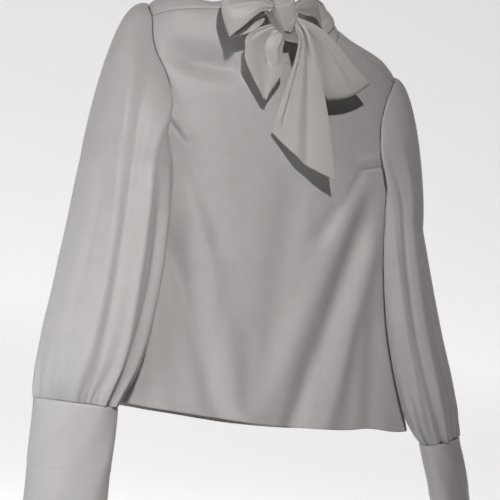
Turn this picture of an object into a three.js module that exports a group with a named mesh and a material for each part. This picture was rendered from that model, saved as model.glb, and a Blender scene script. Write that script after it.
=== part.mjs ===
// A long-sleeved blouse with a stand collar and a tied neck bow, hanging filled out and empty.
// Millimetres. The front faces -Y, up is +Z, and the origin is the middle of the neck opening
// at the height of the inner shoulder points. Left is -X, as seen by someone facing the front.
import * as THREE from 'three';

// Cloth and seams
const clothWall = 1.2;      // the single crepe of body and sleeves
const doubleWall = 1.8;     // folded collar, cuffs and tie
const seamGap = 0.3;        // space left at every seam
const armholeGap = 0.5;

// Body: the form that the panels are cut to
const formPower = 2.5;      // roundness of the cross-section, 2 is an ellipse
const formRows = [
  { z: 40, half: 20, front: 38, back: 36 },
  { z: 0, half: 77, front: 45, back: 42 },
  { z: -17, half: 113, front: 48, back: 45 },
  { z: -34, half: 169, front: 52, back: 48 },
  { z: -58, half: 190, front: 56, back: 51 },
  { z: -100, half: 200, front: 59, back: 55 },
  { z: -160, half: 209, front: 63, back: 58 },
  { z: -225, half: 215, front: 66, back: 61 },
  { z: -330, half: 219, front: 67, back: 62 },
  { z: -413, half: 227, front: 67, back: 63 },
  { z: -463, half: 239, front: 67, back: 63 },
  { z: -519, half: 254, front: 68, back: 64 },
  { z: -600, half: 282, front: 69, back: 65 },
];
const neckHalf = 77;
const neckSeamTurn = 17;    // degrees round the neckline from the ridge to the shoulder seam
const neckDropFront = 87;
const neckDropBack = 12;
const underarmZ = -225;
const hemFrontZ = -552;
const hemSideZ = -539;
const hemBackZ = -557;
const hemWaves = {          // gentle lifts and drops of the hem, centred at x
  front: [{ x: 168, lift: 5, breadth: 26 }, { x: 30, lift: -2, breadth: 60 }],
  back: [{ x: 60, lift: -4, breadth: 90 }],
};

// Armholes, from the underarm up: distance from the centre line at each height. The two fronts
// hang differently. The tip is where armhole and shoulder seam meet.
const armholeFrontRight = [
  { z: -219, x: 208 }, { z: -204, x: 186 }, { z: -186, x: 163 },
  { z: -155, x: 152 }, { z: -125, x: 153 }, { z: -92, x: 161 },
];
const armholeFrontLeft = [
  { z: -219, x: 208 }, { z: -205, x: 186 }, { z: -189, x: 163 }, { z: -168, x: 150 },
  { z: -152, x: 153 }, { z: -139, x: 159 }, { z: -119, x: 172 }, { z: -103, x: 178 },
];
const tipRight = { x: 172, z: -64, ridgeX: 184 };
const tipLeft = { x: 182, z: -73, ridgeX: 190 };
const leftShoulderRise = 12; // how much higher the left shoulder is held than the right
const armholeBack = [
  { z: -217, x: 207 }, { z: -198, x: 188 }, { z: -168, x: 173 }, { z: -130, x: 169 },
  { z: -92, x: 173 }, { z: -60, x: 179 },
];

// Soft folds and darts of the body: a line from (x1, z1) to (x2, z2), its half-breadth and its
// depth, which is negative for a trough
const frontFolds = [
  { x1: -160, z1: -188, x2: -112, z2: -227, breadth: 8, depth: -2 },
  { x1: 160, z1: -188, x2: 112, z2: -227, breadth: 8, depth: -2 },
  { x1: -96, z1: -232, x2: -84, z2: -545, breadth: 26, depth: -5 },
  { x1: -40, z1: -280, x2: -30, z2: -560, breadth: 34, depth: 3.5 },
  { x1: 110, z1: -240, x2: 62, z2: -560, breadth: 22, depth: -6.5 },
  { x1: 132, z1: -250, x2: 112, z2: -560, breadth: 20, depth: 4.5 },
  { x1: -120, z1: -70, x2: -60, z2: -130, breadth: 20, depth: -2.5 },
  { x1: 172, z1: -330, x2: 176, z2: -560, breadth: 16, depth: -3.5 },
];
const backFolds = [
  { x1: -120, z1: -200, x2: -96, z2: -570, breadth: 28, depth: -6 },
  { x1: 124, z1: -210, x2: 104, z2: -570, breadth: 26, depth: -5.5 },
  { x1: -52, z1: -300, x2: -44, z2: -570, breadth: 26, depth: 4 },
  { x1: 50, z1: -280, x2: 46, z2: -570, breadth: 30, depth: 4.5 },
  { x1: 168, z1: -330, x2: 176, z2: -570, breadth: 18, depth: -3.5 },
  { x1: -166, z1: -320, x2: -172, z2: -570, breadth: 18, depth: -3.5 },
];

// Sleeves below the cap: centre of each section (out from the body, y), its two half-breadths,
// how far the long one turns to the front, and the tilt of the section, in degrees
const sleeveRowsLeft = [
  { z: -262, out: 187, y: -38, long: 57, short: 41, turn: 25, tilt: 0 },
  { z: -330, out: 188, y: -47, long: 60, short: 41, turn: 25, tilt: 0 },
  { z: -400, out: 191, y: -53, long: 62, short: 43, turn: 25, tilt: 0 },
  { z: -460, out: 196, y: -57, long: 62, short: 44, turn: 25, tilt: 0 },
  { z: -510, out: 202, y: -59, long: 58, short: 39, turn: 25, tilt: 0 },
  { z: -540, out: 208, y: -59, long: 51, short: 29, turn: 25, tilt: 0 },
  { z: -553, out: 210, y: -59, long: 48, short: 22, turn: 25, tilt: 0 },
];
const sleeveRowsRight = [
  { z: -262, out: 211, y: -19, long: 52, short: 32, turn: 40, tilt: 4 },
  { z: -330, out: 227, y: -22, long: 60, short: 34, turn: 40, tilt: 6 },
  { z: -400, out: 245, y: -26, long: 62, short: 36, turn: 40, tilt: 8 },
  { z: -460, out: 265, y: -27, long: 60, short: 38, turn: 40, tilt: 10 },
  { z: -505, out: 284, y: -25, long: 56, short: 35, turn: 40, tilt: 12 },
  { z: -533, out: 300, y: -22, long: 50, short: 27, turn: 40, tilt: 13 },
  { z: -546, out: 310, y: -21, long: 48, short: 22, turn: 40, tilt: 14 },
];
const cuffLength = 126;
const cuffLap = 22;
const cuffOpenAt = 105;     // where round the wrist the band begins, 90 is the back
const cuffLeanLeft = -3;    // degrees that the cuff leans out
const cuffLeanRight = 17;
const sleeveGathers = 16;
const gatherDepth = 2.6;
const gatherStartZ = -430;
const capLeft = { swell: 130, rise: 0.2 };    // how strongly the cap swells out of the shoulder
const capRight = { swell: 104, rise: 0.45 }; // and how far it rises there
const capFirst = { body: 86, front: 84, underarm: 14 }; // reach of the cap's first bend
const capFall = 120;        // reach of the bend into the hanging sleeve
const underarmFall = 40;
const sleeveClearance = 3;  // between the sleeve and the body it hangs against
const evenShare = 0.75;     // how evenly the points stand round the sleeve, 1 is evenly
const evenRings = 4;        // rings over which this sets in
const softPasses = 3;

// Collar stand
const collarHeight = 34;
const collarLean = 31;      // how far its top leans in at the sides
const collarDraw = 0.15;    // how far its top draws in, front and back, as a share

// Tie: the knot, then rows of the two edges (x1, z1) and (x2, z2) of each folded piece from
// the knot outwards, its distance y and the depth of its soft pleats
const knot = { bottom: -58, top: -9, bottomX: -19, topX: -30, y: -80, halfWidth: 18, halfDepth: 13 };
const knotCols = 20;
const knotRows = [
  { z: 0, share: 0.28 }, { z: -0.12, share: 0.55 }, { z: -0.3, share: 0.85 },
  { z: -0.6, share: 1.02 }, { z: -0.85, share: 0.86 }, { z: -1, share: 0.6 },
];
const tieStandOff = 0.5;    // between the tie and the collar
const tieLow = 0.3;         // the part of the collar's height that the tie covers
const tieHigh = 0.95;
const tieRise = 0.1;        // how much higher it lies at each column of the collar's front
const tieFrontCols = 2;
const tieRootRight = {
  x: [-8.53, -10.53], z: [-24, -12], y: -82,
  via: [{ x: 8, y: -75, z: 0, tall: 17 }, { x: 27, y: -64, z: 11, tall: 21 }],
};
const tieRootLeft = {
  x: [43.53, 42.53], z: [-30, -14], y: -76,
  via: [{ x: 56, y: -67, z: -7, tall: 18 }, { x: 62, y: -56, z: 4, tall: 21 }],
};
const loopLeft = [
  { x1: -42.44, z1: -34, x2: -40.44, z2: -17, y: -88, fold: 1, bulgeX: 0 },
  { x1: -60, z1: -44, x2: -62, z2: -9, y: -95, fold: 3, bulgeX: 0 },
  { x1: -76, z1: -63, x2: -84, z2: -4, y: -98, fold: 3, bulgeX: 0 },
  { x1: -88, z1: -77, x2: -102, z2: -8, y: -96, fold: 2, bulgeX: -4 },
  { x1: -92, z1: -81, x2: -107, z2: -14, y: -91, fold: 0, bulgeX: -8 },
  { x1: -89, z1: -79, x2: -102, z2: -11, y: -87, fold: 0, bulgeX: -4 },
  { x1: -74, z1: -73, x2: -84, z2: -8, y: -85, fold: 0, bulgeX: 0 },
  { x1: -60, z1: -64, x2: -64, z2: -12, y: -84, fold: 0, bulgeX: 0 },
  { x1: -49, z1: -50, x2: -52, z2: -20, y: -80, fold: 0, bulgeX: 0 },
];
const loopRight = [
  { x1: -5.73, z1: -44, x2: -7.73, z2: -30, y: -78, fold: 0, bulgeX: 0, bulgeZ: 0 },
  { x1: 10, z1: -64, x2: 17, z2: -36, y: -84, fold: 1.5, bulgeX: 0, bulgeZ: 0 },
  { x1: 22, z1: -92, x2: 43, z2: -48, y: -86, fold: 2, bulgeX: 0, bulgeZ: 0 },
  { x1: 36, z1: -116, x2: 78, z2: -75, y: -86, fold: 1.5, bulgeX: 2, bulgeZ: -2 },
  { x1: 48, z1: -129, x2: 104, z2: -91, y: -84, fold: 0.5, bulgeX: 3, bulgeZ: -4 },
  { x1: 51, z1: -131, x2: 110, z2: -95, y: -79, fold: 0, bulgeX: 3, bulgeZ: -5 },
  { x1: 47, z1: -128, x2: 103, z2: -91, y: -75, fold: 0, bulgeX: 3, bulgeZ: -4 },
  { x1: 35, z1: -113, x2: 76, z2: -74, y: -72, fold: 0, bulgeX: 0, bulgeZ: 0 },
  { x1: 22, z1: -90, x2: 43, z2: -50, y: -70, fold: 0, bulgeX: 0, bulgeZ: 0 },
  { x1: 6, z1: -60, x2: 12, z2: -38, y: -71, fold: 0, bulgeX: 0, bulgeZ: 0 },
];
const tailLeft = [
  { x1: -39, z1: -48.92, x2: -20, z2: -59.92, y: -76.43, fold: 1 },
  { x1: -58, z1: -61, x2: -18, z2: -70, y: -76, fold: 3 },
  { x1: -70, z1: -76, x2: -19, z2: -82, y: -76, fold: 3 },
  { x1: -69, z1: -91, x2: -15, z2: -96, y: -76, fold: 2.5 },
  { x1: -67, z1: -104, x2: -14, z2: -108, y: -76, fold: 2 },
  { x1: -57, z1: -120, x2: -20, z2: -122, y: -76, fold: 1.5 },
  { x1: -45, z1: -136, x2: -28, z2: -138, y: -76, fold: 1 },
  { x1: -36, z1: -148, x2: -31, z2: -149, y: -76, fold: 0.5 },
];
const tailRight = [
  { x1: -9.46, z1: -47, x2: -8.46, z2: -33, y: -87, fold: 0.5, bulgeZ: 0 },
  { x1: -8, z1: -56, x2: 2, z2: -44, y: -90, fold: 1, bulgeZ: 0 },
  { x1: -5, z1: -66, x2: 11, z2: -58, y: -92, fold: 3, bulgeZ: 0 },
  { x1: -4, z1: -84, x2: 23, z2: -82, y: -92, fold: 4, bulgeZ: 0 },
  { x1: -6, z1: -108, x2: 35, z2: -110, y: -92, fold: 4, bulgeZ: 0 },
  { x1: -9, z1: -134, x2: 46, z2: -140, y: -92, fold: 3, bulgeZ: 0 },
  { x1: -13, z1: -160, x2: 57, z2: -172, y: -91, fold: 2, bulgeZ: -2 },
  { x1: -15, z1: -177, x2: 66, z2: -206, y: -90, fold: 1.5, bulgeZ: -5 },
  { x1: -16, z1: -187, x2: 74, z2: -235, y: -89, fold: 1, bulgeZ: -9 },
];

// Buttons
const buttonRadius = 5.5;
const buttonThick = 2.6;
const buttonStandOff = 0.5;
const cuffButtonLevels = [0.16, 0.5, 0.84];
const neckButtonX = 6.5;    // its middle, to the right of the centre back
const neckButtonZ = -24;
const loopThick = 1.2;      // the thread loop of the neck button
const loopHalfTurn = 130;
const loopSteps = 12;
const loopFoot = 4;         // how far it is sewn on from the centre back

// Rows and columns of the walls
const sideRows = 11;
const armRows = 12;
const shoulderCols = 5;
const neckCols = 7;
const evenPasses = 12;      // how often a panel's grid is evened out
const sleeveCols = armRows * 4;
const capRings = 5;
const sleeveLevels = [0.18, 0.37, 0.55, 0.7, 0.81, 0.895, 0.955, 1];
const cuffSteps = 26;
const cuffLevels = [0, 0.5, 1];
const collarLevels = [0, 0.5, 1];
const knotLevels = [0, 0.12, 0.28, 0.45, 0.62, 0.8, 0.93, 1];
const tieStretchCols = 8;
const buttonSides = 14;

const deg = Math.PI / 180;
const clamp = (v, lo, hi) => Math.min(hi, Math.max(lo, v));
const mix = (a, b, t) => a + (b - a) * t;
const ease = (t) => {
  const s = clamp(t, 0, 1);
  return s * s * (3 - 2 * s);
};

// A smooth curve without overshoot through one column of a table, read at height z
function readTable(rows, column, z) {
  const n = rows.length;
  const slope = (i) => (rows[i + 1][column] - rows[i][column]) / (rows[i + 1].z - rows[i].z);
  const tangent = (i) => {
    if (i === 0) return slope(0);
    if (i === n - 1) return slope(n - 2);
    const before = slope(i - 1);
    const after = slope(i);
    return before * after <= 0 ? 0 : (2 * before * after) / (before + after);
  };
  if (z >= rows[0].z) return rows[0][column];
  if (z <= rows[n - 1].z) return rows[n - 1][column];
  let i = 0;
  while (z < rows[i + 1].z) i += 1;
  const span = rows[i + 1].z - rows[i].z;
  const t = (z - rows[i].z) / span;
  const t2 = t * t;
  const t3 = t2 * t;
  return (2 * t3 - 3 * t2 + 1) * rows[i][column] + (t3 - 2 * t2 + t) * span * tangent(i)
    + (3 * t2 - 2 * t3) * rows[i + 1][column] + (t3 - t2) * span * tangent(i + 1);
}

// How far a point lies from the body's axis, 1 on the form
function formRatio(p) {
  const half = readTable(formRows, 'half', p.z);
  const depth = readTable(formRows, p.y < 0 ? 'front' : 'back', p.z);
  const sum = Math.abs(p.x / half) ** formPower + Math.abs(p.y / depth) ** formPower;
  return sum ** (1 / formPower);
}

function formGradient(p) {
  const h = 0.05;
  const along = (dx, dy, dz) => {
    const step = new THREE.Vector3(dx, dy, dz).multiplyScalar(h);
    return (formRatio(p.clone().add(step)) - formRatio(p.clone().sub(step))) / (2 * h);
  };
  return new THREE.Vector3(along(1, 0, 0), along(0, 1, 0), along(0, 0, 1));
}

// The nearest place on the form, scaled by ratio
function seat(p, ratio = 1, steps = 10) {
  const q = p.clone();
  for (let i = 0; i < steps; i += 1) {
    const g = formGradient(q);
    q.addScaledVector(g, -(formRatio(q) - ratio) / g.lengthSq());
  }
  return q;
}

const frontAt = (x, z) => {
  const half = readTable(formRows, 'half', z);
  const depth = readTable(formRows, 'front', z);
  return new THREE.Vector3(x, -depth * (1 - Math.abs(x / half) ** formPower) ** (1 / formPower), z);
};
const backAt = (x, z) => {
  const half = readTable(formRows, 'half', z);
  const depth = readTable(formRows, 'back', z);
  return new THREE.Vector3(x, depth * (1 - Math.abs(x / half) ** formPower) ** (1 / formPower), z);
};
const mirrorX = (p) => new THREE.Vector3(-p.x, p.y, p.z);

// Points along a smooth curve through the given ones, laid on the form
function formCurve(points, count) {
  const curve = new THREE.CatmullRomCurve3(points, false, 'centripetal');
  return curve.getSpacedPoints(count).map((p) => seat(p));
}

// Seam lines, all with x above 0: those of the left side (side -1) are mirrored later

// A place on the front neckline, from 0 degrees at the ridge to 90 at the centre front
function neckPlace(degrees) {
  const a = degrees * deg;
  const x = neckHalf * Math.cos(a);
  const z = -neckDropFront * Math.sin(a);
  return seat(new THREE.Vector3(x, -30 - 30 * Math.sin(a), z));
}
const shoulderNeck = neckPlace(neckSeamTurn);
const underarm = new THREE.Vector3(readTable(formRows, 'half', underarmZ), 0, underarmZ);
const tipOf = (side) => (side > 0 ? tipRight : tipLeft);
const shoulderTip = (side) => frontAt(tipOf(side).x, tipOf(side).z);

function shoulderLine(side, count) {
  const tip = shoulderTip(side);
  const middle = new THREE.Vector3().lerpVectors(shoulderNeck, tip, 0.5);
  return formCurve([shoulderNeck, seat(middle), tip], count);
}

function neckFrontLine(count) {
  const points = [];
  for (let i = 0; i <= 6; i += 1) points.push(neckPlace(mix(neckSeamTurn, 90, i / 6)));
  return formCurve(points, count);
}

function neckBackLine(count) {
  const rows = [
    { x: 76.5, y: -30, z: -8 }, { x: neckHalf, y: -3, z: 0 }, { x: 76, y: 24, z: -2 },
    { x: 60, y: 40, z: -7 }, { x: 32, y: 43, z: -11 },
  ];
  const points = rows.map((r) => seat(new THREE.Vector3(r.x, r.y, r.z)));
  return formCurve([shoulderNeck, ...points, backAt(0, -neckDropBack)], count);
}

function armholeFrontLine(side, count) {
  const rows = side > 0 ? armholeFrontRight : armholeFrontLeft;
  const points = rows.map((r) => frontAt(r.x, r.z));
  return formCurve([underarm, ...points, shoulderTip(side)], count);
}

function armholeBackLine(side, count) {
  const points = armholeBack.map((r) => backAt(r.x, r.z));
  const overShoulder = [
    seat(new THREE.Vector3(tipOf(side).ridgeX - 1, 24, -44)),
    seat(new THREE.Vector3(tipOf(side).ridgeX, 0, -37)),
  ];
  return formCurve([underarm, ...points, ...overShoulder, shoulderTip(side)], count);
}

function hemLine(back, count, side) {
  const points = [];
  for (let i = 0; i <= count; i += 1) {
    const a = (i / count) * 90 * deg;
    const x = side * readTable(formRows, 'half', hemSideZ) * Math.sin(a);
    const waves = back ? hemWaves.back : hemWaves.front;
    const wave = waves.reduce((sum, w) => sum + w.lift * Math.exp(-(((x - w.x) / w.breadth) ** 2)), 0);
    const level = mix(back ? hemBackZ : hemFrontZ, hemSideZ, Math.sin(a) ** 2);
    const z = level + wave * Math.cos(a);
    const half = readTable(formRows, 'half', z);
    const depth = readTable(formRows, back ? 'back' : 'front', z);
    const round = (Math.sin(a) ** formPower + Math.cos(a) ** formPower) ** (-1 / formPower);
    const y = (back ? 1 : -1) * depth * Math.cos(a) * round;
    points.push(new THREE.Vector3(half * Math.sin(a) * round, y, z));
  }
  return points;
}

function sideLine(count) {
  const points = [];
  for (let i = 0; i <= count; i += 1) {
    const z = mix(hemSideZ, underarmZ, i / count);
    points.push(new THREE.Vector3(readTable(formRows, 'half', z), 0, z));
  }
  return points;
}

// A panel's points between its four edges, laid on the form
function fillPanel(bottom, top, left, right) {
  const rows = left.length - 1;
  const cols = bottom.length - 1;
  const grid = [];
  for (let j = 0; j <= rows; j += 1) {
    const v = j / rows;
    const row = [];
    for (let i = 0; i <= cols; i += 1) {
      const u = i / cols;
      const edge = i === 0 || i === cols || j === 0 || j === rows;
      const p = new THREE.Vector3();
      p.addScaledVector(bottom[i], 1 - v).addScaledVector(top[i], v);
      p.addScaledVector(left[j], 1 - u).addScaledVector(right[j], u);
      p.addScaledVector(bottom[0], -(1 - u) * (1 - v)).addScaledVector(bottom[cols], -u * (1 - v));
      p.addScaledVector(top[0], -(1 - u) * v).addScaledVector(top[cols], -u * v);
      row.push(edge ? p : seat(p));
    }
    grid.push(row);
  }
  for (let pass = 0; pass < evenPasses; pass += 1) evenOut(grid);
  return grid;
}

// Draws each inner point to the middle of its neighbours, so that the cells stay even
function evenOut(grid) {
  for (let j = 1; j < grid.length - 1; j += 1) {
    for (let i = 1; i < grid[j].length - 1; i += 1) {
      const p = new THREE.Vector3();
      p.add(grid[j - 1][i]).add(grid[j + 1][i]).add(grid[j][i - 1]).add(grid[j][i + 1]);
      grid[j][i] = seat(p.multiplyScalar(0.25), 1, 2);
    }
  }
}

// Height of the folds at a point, fading out at the ends of each one
function foldHeight(p, folds) {
  let sum = 0;
  folds.forEach((f) => {
    const dx = f.x2 - f.x1;
    const dz = f.z2 - f.z1;
    const t = ((p.x - f.x1) * dx + (p.z - f.z1) * dz) / (dx * dx + dz * dz);
    const across = Math.abs((p.x - f.x1) * dz - (p.z - f.z1) * dx) / Math.hypot(dx, dz);
    const fade = ease((t + 0.12) / 0.3) * (f.breadth > 10 ? 1 : ease((1.1 - t) / 0.3));
    sum += f.depth * fade * Math.exp(-((across / f.breadth) ** 2));
  });
  return sum;
}

// How much higher the left shoulder lifts a point
const shoulderRise = (p) => (
  leftShoulderRise * ease((-p.x - 95) / 85) * ease((p.z + 210) / 140));

// A closed wall from its outer points and the way in at each of them. Rows that close on
// themselves make a tube.
function wallGeometry(outer, inward, thick, closed) {
  const rows = outer.length;
  const cols = outer[0].length;
  const positions = [];
  const push = (p) => positions.push(p.x, p.y, p.z + shoulderRise(p));
  outer.forEach((row) => row.forEach(push));
  outer.forEach((row, j) => row.forEach((p, i) => push(p.clone().addScaledVector(inward[j][i], thick))));
  const at = (j, i, side) => side * rows * cols + j * cols + (i % cols);
  const index = [];
  const quad = (a, b, c, d) => index.push(a, b, c, a, c, d);
  const spans = closed ? cols : cols - 1;
  for (let j = 0; j < rows - 1; j += 1) {
    for (let i = 0; i < spans; i += 1) {
      quad(at(j, i, 0), at(j, i + 1, 0), at(j + 1, i + 1, 0), at(j + 1, i, 0));
      quad(at(j, i, 1), at(j + 1, i, 1), at(j + 1, i + 1, 1), at(j, i + 1, 1));
    }
  }
  for (let i = 0; i < spans; i += 1) {
    quad(at(0, i, 1), at(0, i + 1, 1), at(0, i + 1, 0), at(0, i, 0));
    quad(at(rows - 1, i, 0), at(rows - 1, i + 1, 0), at(rows - 1, i + 1, 1), at(rows - 1, i, 1));
  }
  for (let j = 0; j < rows - 1 && !closed; j += 1) {
    quad(at(j, 0, 0), at(j + 1, 0, 0), at(j + 1, 0, 1), at(j, 0, 1));
    quad(at(j, cols - 1, 1), at(j + 1, cols - 1, 1), at(j + 1, cols - 1, 0), at(j, cols - 1, 0));
  }
  return closedGeometry(positions, index);
}

// Turns the faces outwards if the points ran the other way round
function closedGeometry(positions, index) {
  let volume = 0;
  const v = (k) => new THREE.Vector3(positions[3 * k], positions[3 * k + 1], positions[3 * k + 2]);
  for (let k = 0; k < index.length; k += 3) {
    volume += v(index[k]).dot(v(index[k + 1]).cross(v(index[k + 2])));
  }
  if (volume < 0) {
    for (let k = 0; k < index.length; k += 3) [index[k], index[k + 1]] = [index[k + 1], index[k]];
  }
  const geometry = new THREE.BufferGeometry();
  geometry.setAttribute('position', new THREE.Float32BufferAttribute(positions, 3));
  geometry.setIndex(index);
  geometry.computeVertexNormals();
  return geometry;
}

// Directions square to a grid of points, towards the inside when sign is -1
function gridNormals(grid, closed, sign) {
  const rows = grid.length;
  const cols = grid[0].length;
  return grid.map((row, j) => row.map((p, i) => {
    const left = closed ? row[(i + cols - 1) % cols] : row[Math.max(i - 1, 0)];
    const right = closed ? row[(i + 1) % cols] : row[Math.min(i + 1, cols - 1)];
    const low = grid[Math.max(j - 1, 0)][i];
    const high = grid[Math.min(j + 1, rows - 1)][i];
    const across = right.clone().sub(left);
    return across.cross(high.clone().sub(low)).normalize().multiplyScalar(sign);
  }));
}

function cloth(name, geometry, color) {
  const material = new THREE.MeshStandardMaterial({ color, roughness: 0.55, metalness: 0 });
  const mesh = new THREE.Mesh(geometry, material);
  mesh.name = name;
  return mesh;
}
const crepeColor = 0xd9d4d2;
const tieColor = 0xdedad0;
const buttonColor = 0xe4e0d8;

// Body panels

function panelGeometry(grid, folds) {
  const normals = grid.map((row) => row.map((p) => formGradient(p).normalize()));
  const outer = grid.map((row, j) => row.map((p, i) => {
    const edge = clamp(Math.min(i, row.length - 1 - i) / 1.5, 0, 1);
    const top = clamp((grid.length - 1 - j) / 3, 0, 1);
    return p.clone().addScaledVector(normals[j][i], foldHeight(p, folds) * edge * top);
  }));
  const inward = normals.map((row) => row.map((n) => n.clone().negate()));
  return wallGeometry(outer, inward, clothWall, false);
}

function frontPanel() {
  const cols = shoulderCols + neckCols;
  const [left, right] = [-1, 1].map((side) => {
    const sideUp = [...sideLine(sideRows), ...armholeFrontLine(side, armRows).slice(1)];
    const outer = sideUp.map((p, j) => seamStep(p, j, sideUp.length, -seamGap / 2));
    const top = [...neckFrontLine(neckCols).reverse(), ...shoulderLine(side, shoulderCols).slice(1)];
    const moved = top.map((p, i) => (i < neckCols ? p : shoulderStep(p, -seamGap / 2)));
    const hem = hemLine(false, cols, side);
    hem[cols] = outer[0].clone();
    moved[cols] = outer[outer.length - 1].clone();
    return { outer, top: moved, hem };
  });
  const bottom = [...left.hem.slice(1).reverse().map(mirrorX), ...right.hem];
  const top = [...left.top.slice(1).reverse().map(mirrorX), ...right.top];
  return panelGeometry(fillPanel(bottom, top, left.outer.map(mirrorX), right.outer), frontFolds);
}

// Moves a point of the side seam to its own side of it
function seamStep(p, j, count, dy) {
  if (j <= sideRows) return new THREE.Vector3(p.x, p.y + dy, p.z);
  return j === count - 1 ? shoulderStep(p, dy) : p.clone();
}

// Moves a point of the shoulder seam along the form to its own side of it
function shoulderStep(p, distance) {
  const line = new THREE.Vector3().subVectors(shoulderTip(1), shoulderNeck).normalize();
  const across = formGradient(p).normalize().cross(line).normalize();
  if (across.y < 0) across.negate();
  return p.clone().addScaledVector(across, distance);
}

function backPanel(side) {
  const half = seamGap / 2;
  const cols = shoulderCols + neckCols;
  const sideUp = [...sideLine(sideRows), ...armholeBackLine(side, armRows).slice(1)];
  const outerEdge = sideUp.map((p, j) => seamStep(p, j, sideUp.length, half));
  const top = [...neckBackLine(neckCols).reverse(), ...shoulderLine(side, shoulderCols).slice(1)];
  const topMoved = top.map((p, i) => (i < neckCols ? p.clone() : shoulderStep(p, half)));
  topMoved[cols] = outerEdge[outerEdge.length - 1].clone();
  const hem = hemLine(true, cols, side);
  hem[cols] = outerEdge[0].clone();
  const rows = outerEdge.length - 1;
  const centre = [];
  for (let j = 0; j <= rows; j += 1) {
    centre.push(backAt(half, mix(hem[0].z, -neckDropBack, j / rows)));
  }
  hem[0] = centre[0].clone();
  topMoved[0] = centre[rows].clone();
  const grid = fillPanel(hem, topMoved, centre, outerEdge);
  const placed = side > 0 ? grid : grid.map((row) => row.map(mirrorX));
  return panelGeometry(placed, backFolds);
}

// Sleeves. The armhole runs from the shoulder tip down the front, and up the back.

function armholeLoop(side) {
  const front = armholeFrontLine(side, armRows).reverse();
  const back = armholeBackLine(side, armRows);
  const loop = [...front, ...back.slice(1, armRows)];
  return loop.flatMap((p, i) => [p, p.clone().lerp(loop[(i + 1) % loop.length], 0.5)]);
}

function sleeveSection(rows, z, side) {
  const read = (column) => readTable(rows, column, z);
  const turn = read('turn') * deg;
  const into = new THREE.Vector2(-Math.cos(turn), -Math.sin(turn));
  const away = new THREE.Vector2(Math.sin(turn), -Math.cos(turn));
  const endColumn = mix(150, 90, (read('turn') - 10) / 60) * deg;
  const ring = [];
  for (let i = 0; i < sleeveCols; i += 1) {
    const a = (i / sleeveCols) * 360 * deg;
    const w = a - endColumn;
    const gather = gatherShape(a, z, rows, side);
    const dx = (read('long') + gather) * Math.cos(w);
    const dy = -(read('short') + gather) * Math.sin(w);
    const out = read('out') + dx * into.x + dy * away.x;
    const y = read('y') + dx * into.y + dy * away.y;
    const lift = Math.tan(read('tilt') * deg) * (out - read('out'));
    ring.push(new THREE.Vector3(side * out, y, z + lift));
  }
  return ring;
}

// Gathers above the cuff, of uneven breadth, deepest a little above the seam
function gatherShape(a, z, rows, side) {
  const end = rows[rows.length - 1].z;
  const t = clamp((gatherStartZ - z) / (gatherStartZ - end), 0, 1);
  const uneven = 0.7 + 0.3 * Math.sin(3 * a + side) * Math.cos(2 * a + 1);
  const grow = t ** 2.2 * (1 - 0.55 * ease((t - 0.88) / 0.12));
  return gatherDepth * uneven * grow * Math.cos(sleeveGathers * a);
}

// Keeps a point of the sleeve outside the body
function clearOfBody(p, clearance) {
  if (p.z < hemBackZ - 4) return p;
  const g = formGradient(p).length();
  const near = 1 + clearance * g;
  return formRatio(p) >= near ? p : seat(p, near);
}

// 1 close to the underarm, 0 elsewhere round the armhole
const underarmShare = (a) => ease((Math.cos(a - 180 * deg) - 0.55) / 0.4);

function sleeveRings(rows, side) {
  const loop = armholeLoop(side);
  const cap = side > 0 ? capRight : capLeft;
  const centre = new THREE.Vector3(190, 0, -140);
  const first = loop.map((p, i) => {
    const next = loop[(i + 1) % sleeveCols];
    const before = loop[(i + sleeveCols - 1) % sleeveCols];
    const away = formGradient(p).cross(next.clone().sub(before)).normalize();
    if (away.dot(centre.clone().sub(p)) < 0) away.negate();
    return p.clone().addScaledVector(away, armholeGap);
  });
  const section = sleeveSection(rows, rows[0].z, 1);
  const rings = [];
  for (let k = 0; k <= capRings; k += 1) {
    const t = k / capRings;
    rings.push(first.map((p, i) => {
      const a = (i / sleeveCols) * 360 * deg;
      const low = underarmShare(a);
      const inner = ease((Math.cos(a - 125 * deg) - 0.35) / 0.5) * (1 - low);
      const high = Math.max(0, Math.cos(a));
      const reach = mix(mix(mix(capFirst.body, cap.swell, high), capFirst.front, inner), capFirst.underarm, low);
      const out = mix(mix(mix(0.86, 1, high), -0.5, inner), 0.5, low);
      const drop = mix(mix(-0.36, cap.rise, high), -0.86, low);
      const start = new THREE.Vector3(out, mix(-0.2 * Math.sin(a), -0.5, inner), drop);
      const down = new THREE.Vector3(0, 0, -mix(mix(capFall, 1.8 * cap.swell, high), underarmFall, low));
      const point = hermite(p, start.multiplyScalar(reach), section[i], down, t);
      const moved = k === 0 ? point : clearOfBody(point, capClearance(t, low));
      return side > 0 ? moved : mirrorX(moved);
    }));
  }
  sleeveLevels.forEach((level) => {
    const z = mix(rows[0].z, rows[rows.length - 1].z, level);
    const ring = sleeveSection(rows, z, side);
    rings.push(ring.map((p) => clearOfBody(p, clothWall + sleeveClearance)));
  });
  return rings.map((ring, k) => {
    const share = evenShare * ease(k / evenRings);
    const fade = ease((rings.length - 1 - k) / evenRings);
    return share * fade === 0 ? ring : evenRing(ring, share * fade, k);
  });
}

// Spaces the points of a ring more evenly, so that none crowd where it turns sharply
function evenRing(ring, share, k) {
  const run = [0];
  for (let i = 0; i < sleeveCols; i += 1) {
    run.push(run[i] + ring[i].distanceTo(ring[(i + 1) % sleeveCols]));
  }
  const total = run[sleeveCols];
  return ring.map((p, i) => {
    const at = mix(run[i], (total * i) / sleeveCols, share);
    let j = 0;
    while (j < sleeveCols - 1 && run[j + 1] < at) j += 1;
    const t = (at - run[j]) / (run[j + 1] - run[j]);
    const q = ring[j].clone().lerp(ring[(j + 1) % sleeveCols], t);
    const low = underarmShare((i / sleeveCols) * 360 * deg);
    return clearOfBody(q, capClearance(Math.min(1, k / capRings), low));
  });
}

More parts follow.
